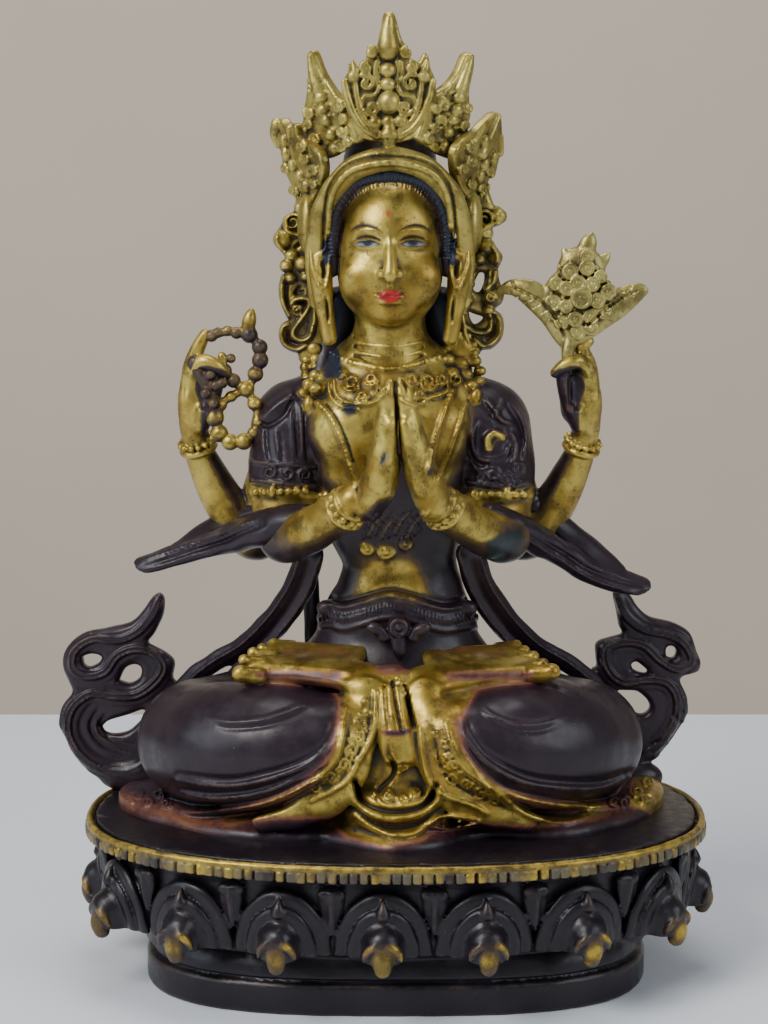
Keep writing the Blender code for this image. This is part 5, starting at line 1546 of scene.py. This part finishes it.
def build_crown():
    clay = Clay((-28.5, -22, 104), (28.5, 10, 177), 0.27)
    arch = [*BAND, (0, -17.0, 143.6, 2.6), *[(-x, y, z, r) for x, y, z, r in reversed(BAND)]]
    clay.limb(arch, flat=0.62, gold=GOLD, steps=12)
    for side in (-1, 1):
        clay.ball((side * 17.6, -2, 130), (2.4, 5, 7), gold=GOLD)
    inner = [(-13.2, 112), (-13.4, 122), (-13.4, 130), (-12.6, 135.6), (-10.9, 138.9), (-8.3, 141.2),
             (-4.4, 142.5), (-0.2, 142.9)]
    clay.lace(whole_arch(inner), 0.75, sink=0.1)
    step = [(-14.3, 112), (-14.5, 122), (-14.4, 130), (-13.5, 136.4), (-11.6, 140), (-8.8, 142.5),
            (-4.6, 143.9), (-0.2, 144.3)]
    step = whole_arch(step)
    clay.press(step, 0.6, 0.55, y=(-22, 0), steps=6)
    clay.string([(u * 1.02, v + 0.55) for u, v in step], 0.75, 0.2, sink=0.3)
    front_leaf(clay)
    side_leaf(clay, -1, LEFT_LEAF, [(-15.2, 158.6), (-16.3, 162.0), (-17.0, 165.4)],
              [(-15.0, 156.8), (-14.5, 154.2), (-13.8, 151.9), (-12.8, 148.9), (-12.0, 145.9)],
              [(-11.2, 154.8, 1.3), (-17.3, 153.6, 1.2), (-17.5, 150.9, 1.2), (-16.4, 148.0, 1.3),
               (-10.4, 149.6, 1.3), (-9.1, 147.2, 1.0), (-14.8, 145.2, 1.1), (-10.3, 152.4, 1.0),
               (-10.6, 146.4, 1.0)], [[(-13.4 + 0.5 * n, 159.6 - 0.75 * n),
                                       (-12.2 + 0.45 * n, 157.8 - 0.8 * n)]
                                      for n in range(5)] + [[(-17.6, 160.4 - 1.1 * n),
                                                             (-16.2, 159.2 - 1.1 * n)] for n in range(3)])
    side_leaf(clay, 1, RIGHT_LEAF, [(15.0, 158.4), (16.2, 161.8), (17.3, 165.2)],
              [(14.8, 156.7), (14.3, 154.2), (13.4, 152.0), (12.5, 149.2), (11.6, 146.4)],
              [(11.4, 155.2, 1.3), (16.7, 154.6, 1.1), (16.2, 150.8, 1.1), (10.8, 151.9, 1.2),
               (9.8, 154.5, 1.0), (8.6, 148.0, 1.1), (15.2, 147.8, 1.1), (9.4, 150.4, 1.0),
               (9.6, 146.4, 0.9)], [[(13.0 - 0.4 * n, 159.2 - 0.6 * n),
                                     (11.6 - 0.4 * n, 158.0 - 0.8 * n)] for n in range(4)])
    back_leaf(clay, -1, LEFT_BACK_LEAF, [([(-24.3, 151.2), (-24.9, 149.0), (-24.2, 146.6)], 1.3),
                                         ([(-21.4, 150.2), (-21.5, 147.0)], 1.0)],
              [(-22.4, 144.8, 1.3), (-21.0, 142.3, 1.2), (-19.4, 140.0, 1.2), (-18.2, 138.0, 1.2),
               (-22.8, 147.6, 1.2)], [(-19.2, 146.4, 1.2), (-18.2, 143.9, 1.1), (-16.5, 141.2, 1.3),
                                      (-20.9, 136.9, 1.1), (-19.4, 134.9, 0.9), (-22.4, 141.6, 0.9),
                                      (-16.6, 138.2, 1.0)])
    back_leaf(clay, 1, RIGHT_BACK_LEAF, [([(19.6, 145), (21.6, 149), (23.2, 152.6)], 1.5),
                                         ([(23.6, 145), (24.0, 148.6)], 0.9),
                                         ([(18.2, 147.4), (20.4, 150.6)], 0.8)],
              [(20.4, 147.4, 1.2), (22.2, 144.0, 1.2), (20.4, 142.6, 1.2), (19.4, 140.0, 1.1)],
              [(17.2, 146.2, 1.1), (17.7, 143.3, 1.2), (15.9, 141.5, 1.2), (21.4, 140.9, 1.0),
               (20.0, 137.6, 1.2), (17.8, 138.4, 1.1), (19.4, 134.8, 0.9)])
    return clay


# Scarf: the ribbons over the elbows and knees, and the two flames of loops

def build_sashes():
    clay = Clay((-62, -21, -2), (62, 24, 76), 0.45)
    left = [(-17.2, -15.8, 69.6, 1.6), (-21.7, -12.6, 67.6, 4.0), (-27.8, -7.8, 64.4, 5.0),
            (-32.4, -4.4, 62.5, 4.4), (-37, -1.8, 60.4, 3.6), (-43.2, 0.0, 58.5, 3.0),
            (-49.4, 1.0, 56.4, 2.9), (-54.6, 1.6, 54.8, 2.4)]
    right = [(20.4, -14.6, 69.6, 1.6), (25.4, -9.6, 66.4, 3.4), (30.0, -5.6, 62.8, 3.6),
             (34.5, -2.8, 59.8, 3.4), (38.8, -0.8, 57.2, 3.1), (43.1, 0.4, 54.3, 3.1),
             (47.3, 1.0, 52.4, 3.2), (51.6, 1.5, 51, 3.2), (55.2, 1.8, 50.0, 2.8)]
    for ribbon, lean in ((left, (0.22, -0.60, 0.78)), (right, (-0.30, -0.60, 0.78))):
        clay.limb(ribbon, flat=0.22, along=lean, gold=DARK, steps=8)
        middle = [(x, z) for x, y, z, r in ribbon[2:]]
        clay.press(shifted(middle, 0.2), 0.7, 0.28, y=(-20, 12), taper=0.5, steps=1)
        clay.press(shifted(middle, -1.5), 0.5, -0.22, y=(-20, 12), taper=0.4, steps=1)
    clay.limb([(-28, 2, 67.0, 3.0), (-33, 4, 64.9, 3.4), (-39, 4, 62.4, 3.2), (-44, 3, 60.4, 2.0),
               (-46.4, 2.4, 59.2, 1.0)], flat=0.34, along=(0.25, -0.5, 0.85), gold=DARK, steps=8)
    clay.limb([(31, 4, 68.4, 2.4), (35, 5, 65.0, 2.9), (39.6, 5.2, 61.2, 3.2), (44.0, 4.6, 57.8, 3.2),
               (48, 3.6, 55.2, 2.4), (51, 2.6, 53.4, 1.2)], flat=0.34, along=(-0.5, -0.4, 0.8),
              gold=DARK, steps=8)
    strap = [(17.6, -3, 58, 3.2), (20.2, 0, 50, 3.4), (25.4, 3, 42, 3.4), (32, 6, 35.2, 3.2),
             (39.4, 9, 30.6, 3.0), (46, 12, 25, 2.8), (51, 15, 17, 2.6), (54, 16, 9, 2.6)]
    for side in (-1, 1):
        clay.limb(sided(strap, side), flat=0.42, gold=DARK, steps=8)
        seen = [(side * x * 0.99, z * 0.99 + 0.6) for x, y, z, r in strap[:6]]
        clay.press([(u, v - 0.3) for u, v in seen], 1.5, 0.6, y=(-20, 20))
        for gap in (-2.2, 2.2):
            clay.press(shifted(seen, gap), 0.55, -0.5, y=(-20, 20), steps=1)
        clay.limb([(side * 44, 12, 8, 5), (side * 50, 14, 10, 4), (side * 55, 16, 8, 3)], blend=1.5,
                  gold=DARK)
    clay.limb([(-18.6, 9, 60, 1.7), (-17.8, 10, 48, 1.9), (-17.2, 10, 36, 2.1), (-17, 9, 26, 2.1)],
              flat=0.6, gold=DARK)
    return clay


LEFT_FLAME = [(-52.6, 45.9), (-51.6, 44.8), (-51.7, 41), (-53.5, 37), (-55.3, 34.1), (-51.1, 32),
    (-49.2, 29.8), (-49.7, 26.3), (-48.5, 25.1), (-45.9, 23.8), (-46.1, 8), (-50.6, 4.8), (-56.8, 4.2),
    (-60.8, 3), (-65.8, 2.7), (-69.7, 4.8), (-73, 9.6), (-73.6, 11.8), (-75.7, 14.7), (-75.8, 16.9),
    (-75, 19.7), (-72.8, 22.9), (-73.6, 25.7), (-74.6, 28.9), (-74.2, 32), (-72, 35.1), (-68.6, 37),
    (-63.9, 38), (-59.3, 39.2), (-56.2, 42), (-54, 44.8)]
RIGHT_FLAME = [(50.9, 46.3), (51.8, 46.8), (54.6, 45.7), (56.5, 42.9), (59.6, 40.4), (65.2, 38.9),
    (68.6, 36.7), (69.5, 33.8), (70, 31.7), (71.1, 29.8), (70.8, 27.9), (69.1, 27.3), (67.2, 27),
    (66.6, 25.1), (68.3, 21.3), (68.4, 17.5), (65.9, 13.7), (62.3, 8.6), (60.2, 7.1), (50.9, 6.5),
    (46.2, 11.2), (46, 27), (47.5, 28.9), (47, 33.2), (47.9, 34.8), (50.2, 35.6), (53.1, 36.5),
    (52.3, 38.6), (52, 42)]
LEFT_EYES = ([(-70.2, 31.3), (-68.1, 31.9), (-66, 31.3), (-66.5, 29.8), (-68.7, 28.7), (-70, 29.5)],
             [(-62, 25.6), (-60.4, 28.6), (-58.3, 29.5), (-56.9, 28.6), (-57.3, 26.3), (-59.5, 24.9)],
             [(-66.2, 14.7), (-64.4, 16.3), (-59.6, 17.8), (-56.5, 18.8), (-56.4, 17.2), (-59.7, 14),
              (-62.8, 13), (-65.3, 13.4)])
RIGHT_EYES = ([(63, 31.7), (63.5, 33.5), (65, 33.7), (65.6, 32.3), (64.9, 30.8), (63.4, 30.7)],
              [(55.4, 29.5), (56.4, 30.1), (58.2, 28.9), (59.4, 27.6), (58.2, 27), (55.8, 28.3)],
              [(52.1, 23.5), (53.7, 23.7), (56.5, 23.3), (59, 21.3), (59.7, 19.1), (58.1, 17.7),
               (56, 18.4), (53.2, 21)])
LEFT_RIBBON = [(-51.2, 47.3), (-52.8, 43.6), (-56.1, 39.9), (-60.6, 38.1), (-66, 38.4), (-70.2, 35.6),
               (-70.6, 31.8), (-67.6, 29.9), (-63.4, 30.9), (-60.8, 34.4), (-56.8, 36.1), (-52.6, 35.2),
               (-50.4, 32.0), (-52.2, 28.6), (-56.4, 25.6), (-61.4, 25.4), (-66.4, 26.0), (-70.8, 22.8),
               (-72, 17.6), (-69.6, 12.2), (-64.6, 8.6), (-58.6, 8.0), (-52, 11.4)]
RIGHT_RIBBON = [(50.6, 47.6), (52.3, 43.8), (56.3, 40.6), (61.8, 39.4), (65.6, 37.2), (67.2, 33.4),
                (64.0, 31.6), (60.2, 33.6), (56.4, 37.0), (51.6, 37.6), (47.8, 35.6), (48.6, 31.4),
                (51.8, 28.6), (57.2, 29.2), (61.8, 28.4), (64.2, 24.4), (63.2, 18.8), (59.8, 14.0),
                (55.6, 10.6)]


def build_loops():
    clay = Clay((-79, 9, -2), (74, 23, 62), 0.42)
    clay.plate(LEFT_FLAME, 16, 2.0, 1.4, holes=LEFT_EYES)
    clay.plate(RIGHT_FLAME, 16, 2.0, 1.4, holes=RIGHT_EYES)
    for ribbon in (LEFT_RIBBON, RIGHT_RIBBON):
        clay.press(ribbon, 2.5, -1.1, y=(9, 30), taper=0.15)
        for gap in (-1.15, 0.0, 1.15):
            clay.press(shifted(ribbon, gap), 0.5, 0.6, y=(9, 16), taper=0.2, steps=1)
    for side in (-1, 1):
        for n, size in enumerate((0.0, 2.2, 4.2)):
            curl = [(side * (66.5 - 0.8 * size), 24 - size * 0.6), (side * (69.0 - size), 18.6),
                    (side * (66.2 - 0.9 * size), 13.2 + 0.6 * size)]
            clay.press([*curl, (side * (60 - 0.6 * size), 10.4 + 0.9 * size)], 0.8, 0.6 if n else 0.4,
                       y=(9, 16), taper=0.6)
    clay.ball((-58, 16, 3), (9, 3.6, 4), blend=1.5, gold=DARK)
    clay.ball((56, 15, 3), (7, 4, 4), blend=1.5, gold=DARK)
    return clay


# What the raised hands hold

MALA = [(-30.4, 106.1, 1.6), (-28.2, 103.4, 1.5), (-28.1, 100.6, 1.6), (-29.2, 97.6, 1.5),
        (-31.2, 94.4, 1.6), (-33.9, 96.2, 1.4), (-35.6, 98.4, 1.2), (-34.5, 92.7, 1.1),
        (-36.7, 90.9, 1.2), (-38, 88, 1.7), (-37.1, 84.7, 1.7), (-34.8, 82.8, 1.6), (-31.8, 82.9, 1.6),
        (-29.6, 84.8, 1.2), (-28.6, 87.4, 1.3), (-29.4, 91.2, 1.4), (-34.4, 101.0, 0.9),
        (-33.2, 106.4, 1.1), (-35.2, 106.9, 1.0), (-37.2, 106.6, 1.0), (-38.6, 105.9, 1.2)]


def build_mala():
    clay = Clay((-46, -9, 78), (-24, 2, 115), 0.27)
    cord = [(-38.6, 105.9), (-35.2, 106.8), (-32.6, 106.8), (-30.4, 106.1), (-28.2, 103.4),
            (-28.1, 100.6), (-29.2, 97.6), (-31.2, 94.4), (-33.9, 96.2), (-35.9, 98.6), (-36.4, 101.5)]
    clay.limb([(x, -3.4, z, 0.9) for x, z in cord], blend=0.3, gold=0.6)
    cord = [(-31.2, 94.4), (-29.4, 91.2), (-28.6, 87.4), (-29.6, 84.8), (-31.8, 82.9), (-34.8, 82.8),
            (-37.1, 84.7), (-38, 88)]
    clay.limb([(x, -3.4, z, 0.9) for x, z in [*cord, (-36.7, 90.9), (-34.5, 92.7), (-31.2, 94.4)]],
              blend=0.3, gold=0.6)
    for x, z, r in MALA:
        size = r * 1.16
        clay.ball((x, -3.4, z), (size, size, size), blend=0.25,
                  gold=chance.uniform(0.30, 0.52) if z > 96 else chance.uniform(0.56, 0.80))
    clay.limb([(-30.6, -3.4, 107.9, 1.5), (-30.3, -3.4, 109.6, 1.5), (-29.9, -3.4, 111.2, 0.7)], gold=0.6)
    clay.limb([(-42, -3.2, 100, 2.0), (-39.6, -3.6, 96, 1.9), (-38.4, -3.6, 92, 1.6),
               (-37.8, -3.4, 89, 1.2)], blend=1.0, gold=0.35)
    for x, z in ((-38.8, 97.6), (-37.6, 95.2), (-39.8, 93.6), (-38.0, 91.4), (-36.2, 95.8)):
        clay.ball((x, -5.4, z), (1.2, 1.1, 1.2), blend=0.3, gold=0.4)
    return clay


LOTUS = [(42.2, 120.6, 1.6), (38.6, 119.8, 1.7), (42.3, 123.0, 1.5), (40.3, 117.4, 1.6),
         (43.4, 117.1, 1.5), (45.1, 118.7, 1.3), (37.8, 116.2, 1.5), (35.6, 117.2, 1.4),
         (46.9, 115.4, 1.7), (44.6, 113.6, 1.6), (46.1, 111.2, 1.6), (43.2, 110.2, 1.6),
         (39.8, 109.6, 1.6), (36.9, 108.9, 1.5), (35.0, 113.1, 1.8), (37.8, 112.4, 1.4),
         (40.4, 106.8, 1.6), (43.4, 107.6, 1.4)]


def ringed(clay, x, y, z, size, gold=GOLD):
    """A cupped round bead with a raised edge."""
    clay.ball((x, y, z), (size, 1.0, size), blend=0.12, gold=gold)
    clay.hoop((x, y - 0.7, z), (0, 1, 0), size * 0.78, 0.40, blend=0.1, gold=gold)
    clay.ball((x, y - 0.7, z), (size * 0.3, 0.5, size * 0.3), blend=0.1, gold=gold)


def lotus_swell(x, z):
    """How far the lotus's front swells out."""
    return 2.3 * math.sqrt(max(0.0, 1 - ((x - 40.6) / 8.2) ** 2 - ((z - 114.6) / 10.6) ** 2))


def build_lotus():
    clay = Clay((20, -8, 95), (59, 3, 131), 0.26)
    clay.ball((40.4, -2.8, 113.2), (7.8, 2.5, 8.0), gold=GOLD)
    clay.ball((41.2, -2.8, 120), (5.2, 2.1, 5.2), gold=GOLD)
    clay.ball((39.8, -3.2, 107.2), (3.6, 1.9, 3.6), gold=GOLD)
    for x, z, r in LOTUS:
        ringed(clay, x, -3.2 - lotus_swell(x, z), z, r * 1.1)
    ringed(clay, 41.0, -6.2, 114.1, 2.5)
    for n in range(70):
        angle, out = n * 2.4, math.sqrt((n + 0.5) / 70)
        x, z = 40.7 + 7.0 * out * math.cos(angle), 114.2 + 8.4 * out * math.sin(angle)
        clay.ball((x, -3.0 - lotus_swell(x, z), z), (0.6, 0.7, 0.6), blend=0.1, gold=GOLD)
    for tip, base, size in (((43.4, -3, 127.6), (41.8, -3, 123.4), 1.9),
                            ((37.4, -3, 124.4), (39.2, -3, 121.4), 1.4),
                            ((47.1, -3, 123.4), (44.6, -3, 120.8), 1.4)):
        middle = tuple((a + b) / 2 for a, b in zip(tip, base))
        clay.limb([(*base, size), (*middle, size), (*tip, 0.5)], flat=0.6, blend=0.3, gold=GOLD)
    left = [(38.6, -3, 103.4, 1.3), (37.0, -3, 107, 2.4), (34.6, -3, 111, 2.9), (30.8, -2.6, 114.8, 2.9),
            (27, -2, 116.2, 1.9)]
    clay.limb([*left, (23.6, -1, 115.4, 0.8)], flat=0.45, blend=0.5, gold=GOLD, steps=8)
    right = [(41.6, -3, 106, 1.6), (45.8, -3, 109.8, 2.6), (49.8, -3, 113.2, 3.0),
             (53.2, -3, 115.4, 1.9), (54.8, -3, 115.6, 1.0)]
    clay.limb(right, flat=0.45, blend=0.5, gold=GOLD, steps=8)
    clay.press([(38.4, 104), (36.4, 109), (32.6, 113.4), (27.4, 115.9)], 0.5, 0.5, y=(-20, 2))
    clay.press([(43, 108), (48.4, 112.6), (53.6, 115.4)], 0.5, 0.5, y=(-20, 2))
    # Veins of the two leaves, in pairs
    pairs = [((35.8 - 1.7 * n, 110.2 + 1.15 * n), (-0.7, -1.3)) for n in range(6)]
    pairs += [((46.6 + 1.8 * n, 111.4 + 1.25 * n), (0.3, 1.2)) for n in range(4)]
    for (u, v), (upper, lower) in pairs:
        clay.press([(u, v), (u + upper, v + 1.3)], 0.34, 0.24, y=(-20, 2), steps=2)
        clay.press([(u, v), (u + lower, v - 0.8)], 0.34, 0.24, y=(-20, 2), steps=2)
    clay.limb([(38.6, -3.6, 99.6, 1.2), (38.4, -4, 102, 1.4), (39, -3.4, 105, 1.7)], blend=0.4, gold=GOLD)
    return clay


LEFT_FALL = [(-18.5, 138.5), (-19.2, 135.5), (-20.7, 134), (-20.9, 132.3), (-22, 132), (-22.9, 130.6),
    (-24.7, 127.9), (-24.9, 126.2), (-23.3, 123.6), (-22.8, 122.5), (-23.7, 121.5), (-23.5, 120),
    (-22.7, 119), (-23.5, 118.7), (-24.1, 115.8), (-23.7, 112.8), (-22.4, 110), (-22.1, 109),
    (-23.4, 108.2), (-24.1, 105.8), (-23.4, 103.8), (-21.6, 102.4), (-20.2, 101.8), (-19.4, 99.8),
    (-15.4, 98.8), (-14.4, 102.3), (-14.3, 138.5)]
RIGHT_FALL = [(15.7, 138.5), (20.4, 138.5), (21.7, 136), (22.6, 133.8), (23.7, 133.6), (24.9, 132.1),
              (24.4, 130), (23, 129.6), (22, 129.1), (21.5, 127.9), (20.3, 126.4), (22.2, 125.4),
              (23.8, 123.7), (24, 121.2), (23.4, 120), (23.8, 117.5), (24.8, 114.8), (24.3, 112.7),
              (22.8, 111.3), (24.3, 110.1), (24.8, 107.8), (24.4, 105.1), (22.2, 102.8), (20.2, 102.5),
              (19.2, 101.3), (15.9, 100.3), (14.6, 104.8)]
RIGHT_FALL_EYE = [(19.4, 119.4), (20.5, 119), (20.3, 116.8), (19.3, 115.1), (18.1, 115.7), (18.5, 117.5)]
RIGHT_FALL_LOW_EYE = [(17.1, 110.9), (18.4, 110.3), (20.2, 109.6), (19.4, 108.6), (18.4, 108.1),
    (17.6, 109.1)]


def build_ornaments():
    """The cast scrolls that hang from the crown at each side of the head."""
    clay = Clay((-28, -6, 96), (28, 8, 142), 0.29)
    clay.plate(LEFT_FALL, 1.5, 2.2, 1.5, gold=0.86)
    clay.plate(RIGHT_FALL, 1.5, 2.2, 1.5, gold=0.86, holes=(RIGHT_FALL_EYE, RIGHT_FALL_LOW_EYE))
    for u, v, size in ((-23.3, 126.6, 2.0), (-21.3, 123.0, 1.5), (-22.5, 120.8, 1.5),
                       (-18.8, 121.2, 1.9), (-21.6, 118.2, 1.3), (-18.3, 118.4, 1.3),
                       (-17.4, 124.6, 1.4), (23.6, 131.5, 1.7), (20.7, 127.9, 1.7), (21.0, 124.9, 1.8),
                       (22.7, 122.6, 1.7), (19.4, 122.4, 1.5), (22.1, 113.9, 2.1), (21.4, 111.2, 1.3),
                       (17.6, 120.6, 1.2), (17.4, 117.0, 1.1), (17.0, 113.4, 1.2)):
        clay.ball((u, -0.4, v), (size, 2.0, size), blend=0.35, gold=0.86)
    for u, v, size, start, hand in ((-21.0, 130.2, 1.9, 0, 1), (-18.0, 135.8, 1.4, 200, -1),
                                    (20.6, 130.8, 2.0, 180, -1), (19.0, 135.8, 1.4, 20, 1),
                                    (-16.2, 132.4, 1.3, 90, 1), (17.4, 126.4, 1.0, 90, -1),
                                    (21.9, 113.9, 1.2, 0, 1), (-20.0, 111.0, 1.2, 30, 1)):
        clay.press(spiral((u, v), size, start, 1.4, hand), 0.55, -1.0, y=(-6, 2), steps=2)
        clay.press(spiral((u, v), size * 0.75, start + 30, 1.2, hand), 0.4, 0.5, y=(-6, 2), steps=2)
    ridges = ([(-22.1, 108.3), (-23.4, 107.5), (-23.7, 105.8), (-23.1, 103.9), (-21.7, 102.9),
               (-20.1, 102.6), (-18.4, 103.5)], [(-21.6, 112.3), (-20.6, 113.5), (-18.3, 113.7),
                                                 (-17.4, 112.6), (-18.6, 110.3), (-20.7, 107.4),
                                                 (-21.2, 106.0), (-20.4, 104.9), (-18.9, 104.6),
                                                 (-17.4, 105.5), (-17, 107.5)], [(-23.2, 118.4),
                                                                                 (-23.6, 115.5),
                                                                                 (-23.1, 112.5),
                                                                                 (-22.0, 109.9)],
              [(-17.3, 116.3), (-16.6, 113.5), (-16.4, 109.8), (-16.9, 106.5)],
              [(-24.4, 127.6), (-24.5, 125.9), (-22.9, 123.9)], [(-22.9, 131.2), (-22.2, 128.4),
                                                                 (-19.4, 127.4), (-16.6, 128.2)],
              [(22.8, 110.6), (23.9, 109.1), (24.1, 107.1), (23.5, 105.1), (21.9, 103.7), (20.2, 103.4),
               (18.4, 105.0)], [(16.6, 107.8), (18.4, 106.5), (20.9, 106.3), (22.2, 107.8),
                                (21.9, 109.6)], [(23.0, 119.6), (22.4, 117.3), (20.9, 115.6)],
              [(21.6, 119.5), (21.4, 117.5), (20.6, 116.2)], [(22.2, 125.0), (23.2, 123.4),
                                                              (23.3, 121.4)], [(19.2, 128.2),
                                                                               (21.6, 129.4),
                                                                               (23.4, 129.9)],
              [(15.8, 110.0), (16.4, 106.4), (17.6, 103.0)])
    for line in ridges:
        clay.press(line, 0.75, -1.1, y=(-6, 2), taper=0.15)
    for line in ([(-22.4, 116.6), (-22.5, 113.6), (-21.8, 111.4)],
                 [(-19.9, 112.6), (-18.6, 112.4), (-19.2, 110.8)],
                 [(-22.2, 106.6), (-22.0, 104.6), (-20.2, 103.7)],
                 [(22.5, 108.4), (22.6, 106.4), (21.2, 105.0)], [(-19.6, 116.2), (-20.4, 114.9),
                                                                 (-19.0, 115.2)], [(-20.4, 124.9),
                                                                                   (-18.2, 126.4),
                                                                                   (-16.2, 125.2)]):
        clay.press(line, 0.7, 1.2, y=(-6, 2), taper=0.3)
    clay.tint([(-26, 121), (-15, 121), (-14, 98), (-26, 100)], 0.62, 3.0, y=(-10, 8))
    clay.tint([(26, 124), (15, 124), (14, 98), (26, 100)], 0.68, 3.0, y=(-10, 8))
    return clay


CHIPS = ([(-16, 104.4), (-13.1, 105.3), (-11, 102.8), (-10.2, 98.2), (-11, 96.5), (-14.4, 96.1),
          (-15.2, 98.6), (-14.8, 101.5)], [(-10.2, 90.6), (-7.7, 91), (-7.2, 88.9), (-8.9, 87.8),
                                           (-10.4, 88.9)])
HAND_CHIPS = ([(-1.8, 79.7), (-0.8, 80.1), (-0.7, 78.8), (-1.6, 77.3), (-2.3, 77.6)],
              [(8.2, 76.1), (9.1, 76.8), (9.6, 76.1), (8.9, 74.9), (8.2, 75.2)])
ELBOW_CHIP = [(21.4, 60.1), (23.9, 61.8), (28.1, 63.1), (29.4, 61.4), (27.3, 58.4), (24.4, 55.4),
              (21.4, 55.4)]

BARE_METAL = (0.35, 0.33, 0.28)
CHIP_DARK = (0.02, 0.018, 0.018)
ELBOW_DARK = (0.012, 0.020, 0.022)


def spotted(clay):
    """Dark patches where the paint is off."""
    body = brushed(clay, [(outline, NAVY, 0.3) for outline in CHIPS], farthest=6)
    first = HAND_CHIPS[0]
    bare_edge = [(u + 0.25 * (u - first[0][0]), v) for u, v in first]
    on_hands = [(bare_edge, BARE_METAL, 0.2), *[(outline, CHIP_DARK, 0.15) for outline in HAND_CHIPS]]
    hands = brushed(clay, on_hands, farthest=-24)
    elbow = brushed(clay, [(ELBOW_CHIP, ELBOW_DARK, 0.5)], farthest=0)

    def paint(verts, colours):
        for part in (body, hands, elbow):
            part(verts, colours)
    return paint


def show():
    lotus_base().skin("lotus_base", base_coat, tarnished(oval_places(BLOCKS, BLOCK_OVAL)))
    robe = build_robe()
    build_feet(robe)
    robe.skin("robe_and_legs", brass)
    trunk = build_trunk()
    build_arms(trunk)
    crease_hands(trunk)
    build_sleeves(trunk)
    build_belt(trunk)
    build_necklaces(trunk)
    build_bangles(trunk)
    paint_arms(trunk)
    trunk.skin("trunk_and_arms", skin_brass, spotted(trunk))
    head = build_head()
    head.skin("head", skin_brass, painted_face(head))
    build_crown().skin("crown", pale_brass)
    build_sashes().skin("sashes", brass)
    build_loops().skin("scarf_loops", brass)
    build_mala().skin("rosary", skin_brass)
    build_lotus().skin("lotus", lotus_gilt)
    build_ornaments().skin("ornaments", pale_brass)


show()


# Stage, lights and camera

# In metres. The floor ends behind the statue, and the backdrop stands well behind that
FLOOR_EDGE = 0.24
FLOOR_DEPTH = 3
BACKDROP = 0.9
BOARD = 6
FLOOR_GREY = (0.66, 0.69, 0.73, 1.0)
BACKDROP_GREY = (0.74, 0.63, 0.50, 1.0)
SKY = (0.68, 0.73, 0.82, 1.0)
SKY_STRENGTH = 0.36

LENS = 80.7
SENSOR = 36.0
AIM_HEIGHT = 102.4


def board(name, depth, place, tilt, pale):
    """A plain board of the stage, a little clouded."""
    bpy.ops.mesh.primitive_plane_add(size=1, location=place, rotation=(math.radians(tilt), 0, 0))
    plane = bpy.context.object
    plane.scale = (BOARD, depth, 1)
    plane.name = name
    s = Shader("pale_" + name)
    tone = s.mix(s.ease(s.noise(60), 0.3, 0.7), pale, toned(pale, 1.06))
    s.link(tone, s.surface.inputs["Base Color"])
    s.surface.inputs["Roughness"].default_value = 0.8
    s.surface.inputs["Specular IOR Level"].default_value = 0.2
    plane.data.materials.append(s.material)


def stage():
    board("floor", FLOOR_DEPTH, (0, FLOOR_EDGE - FLOOR_DEPTH / 2, 0), 0, FLOOR_GREY)
    board("backdrop", BOARD, (0, BACKDROP, 0), 90, BACKDROP_GREY)
    world = bpy.data.worlds.new("studio")
    world.use_nodes = True
    world.node_tree.nodes["Background"].inputs["Color"].default_value = SKY
    world.node_tree.nodes["Background"].inputs["Strength"].default_value = SKY_STRENGTH
    bpy.context.scene.world = world


def soft_light(name, place, aim, size, power, colour=(1, 1, 1)):
    """A round lamp, with its place, aim and size in metres and its power in watts."""
    light = bpy.data.lights.new(name, "AREA")
    light.shape = "DISK"
    light.size = size
    light.energy = power
    light.color = colour
    lamp = bpy.data.objects.new(name, light)
    lamp.location = place
    lamp.rotation_euler = (Vector(aim) - Vector(place)).to_track_quat("-Z", "Y").to_euler()
    bpy.context.scene.collection.objects.link(lamp)


def camera():
    data = bpy.data.cameras.new("camera")
    data.lens = LENS
    data.sensor_width = SENSOR
    view = bpy.data.objects.new("camera", data)
    view.location = [c * MM for c in EYE]
    aim = Vector((EYE[0] * MM, 0, AIM_HEIGHT * MM))
    view.rotation_euler = (aim - view.location).to_track_quat("-Z", "Y").to_euler()
    bpy.context.scene.collection.objects.link(view)
    bpy.context.scene.camera = view


stage()
soft_light("key", (-0.55, -0.55, 0.75), (0, 0, 0.10), 0.55, 9.0, (1.0, 0.98, 0.95))
soft_light("fill", (0.7, -0.45, 0.45), (0, 0, 0.10), 0.6, 3.0, (0.88, 0.93, 1.0))
soft_light("window", (-0.65, -0.30, 0.28), (0, 0, 0.12), 0.4, 1.3, (0.74, 0.86, 1.0))
soft_light("top", (0.0, 0.1, 0.9), (0, 0, 0.1), 0.5, 3.0)
camera()

for piece in pieces:
    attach(piece, "root")
    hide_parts("statue")
